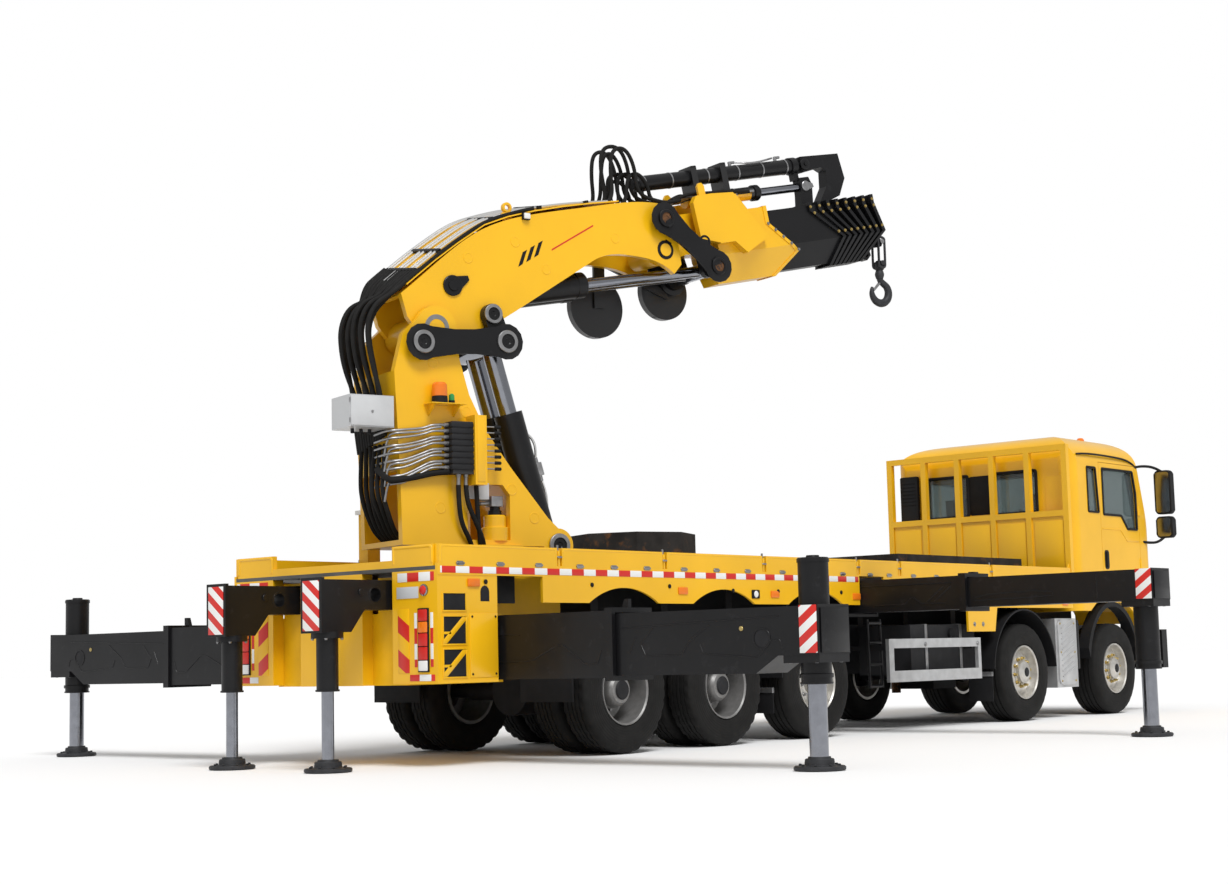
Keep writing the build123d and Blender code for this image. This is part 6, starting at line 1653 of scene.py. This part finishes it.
curl = [math.radians(degree) for degree in (35, 0, -40, -80, -120, -155, -185, -205)]
bowl = [(0.0, -0.375), (0.0, -0.40), (0.04, -0.43)]
bowl += [(0.117 * math.cos(a), -0.53 + 0.117 * math.sin(a)) for a in curl]
pipes("forged_hook", "hook", [[hang(u, z) for u, z in bowl]], 0.040, "foot", sides=5,
      swell=(0.8, 0.8, 0.85, 0.9, 1.0, 1.05, 1.05, 0.95, 0.8, 0.6, 0.35))
SWIVEL = [(0, 0), (0, 0.036), (0.03, 0.046), (0.05, 0.048), (0.09, 0.036), (0.10, 0.05), (0.155, 0.05),
          (0.185, 0.034), (0.20, 0)]
tackle = Piece("hook_tackle", "hook")
tackle.turn(hang(0, -0.385), UP, SWIVEL, "foot", 28)
tackle.rod(hang(0, -0.225, -0.066), hang(0, -0.225, 0.066), 0.026, "foot", 20)
tackle.rod(hang(0, 0, -0.068), hang(0, 0, 0.068), 0.025, "steel", 20)
latch = [hang(-0.012, -0.425, -0.022), hang(0.015, -0.425, -0.022), hang(-0.092, -0.525, -0.014),
         hang(-0.104, -0.515, -0.014)]
tackle.prism(latch, RIGHT * 0.036, "steel", 0.003)
tackle.done("hook")
OVAL = ((1, 0.0), (1, -0.225), (0.95, -0.265), (0, -0.275), (-0.95, -0.265), (-1, -0.225), (-1, 0.0),
        (-0.95, 0.035), (0, 0.048), (0.95, 0.035))
ovals = [[hang(0.042 * a, b, way * 0.047) for a, b in OVAL] for way in (-1, 1)]
pipes("hook_links", "hook", ovals, 0.013, "foot", closed=True)

# %% [markdown]
# The folding cylinders under the inner boom have thick barrels with a bolted head. A jacket turned
# round each barrel gives the head and the step behind it.

# %% jackets of the folding cylinders
fold_foot = crane(*PIN["fold_foot"])
fold_axis = (crane(*PIN["fold_tip"]) - fold_foot).normalized()
barrels = nodes["knuckle_barrels"]
corners = [barrels.matrix_world @ corner.co for corner in barrels.data.vertices]
barrel_end = max((corner - fold_foot).dot(fold_axis) for corner in corners)
print("folding cylinder barrels end at", round(barrel_end, 3))
JACKET = ((-0.62, 0.099), (-0.60, 0.116), (-0.10, 0.116), (-0.095, 0.121), (-0.006, 0.121), (0.004, 0.112),
          (0.004, 0.058), (-0.01, 0.056))
jackets = Piece("knuckle_jackets", "knuckle_barrels")
for lane in (-0.115, 0.115):
    start = crane(*PIN["fold_foot"], lane)
    jackets.turn(start, fold_axis, [(barrel_end + along, radius) for along, radius in JACKET], "black", 40)
jackets.done()

# %% [markdown]
# The stage: a wide pale floor, a soft high sun from the front right of the viewer and an even white
# sky. The floor is plain and keeps the object's shadow.

# %% floor, light and sky
floor_mesh = bpy.data.meshes.new("floor")
FLOOR_HALF, FLOOR_Z = 140, -0.004
floor_corners = [(a * FLOOR_HALF, b * FLOOR_HALF, FLOOR_Z) for a, b in ((-1, -1), (1, -1), (1, 1), (-1, 1))]
floor_mesh.from_pydata(floor_corners, [], [(0, 1, 2, 3)])
floor = bpy.data.objects.new("floor", floor_mesh)
bpy.context.collection.objects.link(floor)
floor_finish = bpy.data.materials.new("pale_floor")
floor_finish.use_nodes = True
floor_shader = floor_finish.node_tree.nodes["Principled BSDF"]
floor_shader.inputs["Base Color"].default_value = (0.935, 0.935, 0.935, 1)
floor_shader.inputs["Roughness"].default_value = 0.9
floor_shader.inputs["Specular IOR Level"].default_value = 0.1
floor_mesh.materials.append(floor_finish)
sun_data = bpy.data.lights.new("sun", "SUN")
sun_data.energy = 2.3
sun_data.angle = math.radians(24)
sun = bpy.data.objects.new("sun", sun_data)
sun.rotation_euler = Vector((0.42, 0.62, -0.95)).to_track_quat("-Z", "Y").to_euler()
bpy.context.collection.objects.link(sun)
world = bpy.data.worlds.new("white_sky")
bpy.context.scene.world = world
world.use_nodes = True
sky = world.node_tree
back = sky.nodes["Background"]
back.inputs["Color"].default_value = (1, 1, 1, 1)
ray = sky.nodes.new("ShaderNodeLightPath")
seen = sky.nodes.new("ShaderNodeMath")
seen.operation = "MAXIMUM"
sky.links.new(ray.outputs["Is Camera Ray"], seen.inputs[0])
sky.links.new(ray.outputs["Is Transmission Ray"], seen.inputs[1])
level = sky.nodes.new("ShaderNodeMapRange")
level.inputs["To Min"].default_value = 0.55
level.inputs["To Max"].default_value = 1.0
sky.links.new(seen.outputs[0], level.inputs["Value"])
sky.links.new(level.outputs["Result"], back.inputs["Strength"])
bpy.context.scene.view_settings.view_transform = "Standard"
print("stage lit")

# %% [markdown]
# The camera stands low behind the truck's right rear corner. Its place, turn and lens come from
# matching the wheels and the deck with the photograph.

# %% camera
yaw, pitch, roll = math.radians(40.807), math.radians(6.304), math.radians(-1.365)
look = Vector((math.cos(pitch) * math.cos(yaw), math.cos(pitch) * math.sin(yaw), math.sin(pitch)))
level_right = Vector((math.sin(yaw), -math.cos(yaw), 0))
level_up = level_right.cross(look)
cam_right = level_right * math.cos(roll) + level_up * math.sin(roll)
cam_up = level_up * math.cos(roll) - level_right * math.sin(roll)
camera_data = bpy.data.cameras.new("camera")
camera_data.sensor_fit = "HORIZONTAL"
camera_data.sensor_width = 36.0
camera_data.lens = 1932.449 / 1228 * 36.0
camera_data.clip_end = 400
camera = bpy.data.objects.new("camera", camera_data)
bpy.context.collection.objects.link(camera)
place = Matrix((cam_right, cam_up, -look)).transposed().to_4x4()
place.translation = Vector((-16.453, -12.07, 0.834))
camera.matrix_world = place
bpy.context.scene.camera = camera
print("camera at", [round(v, 3) for v in camera.location])
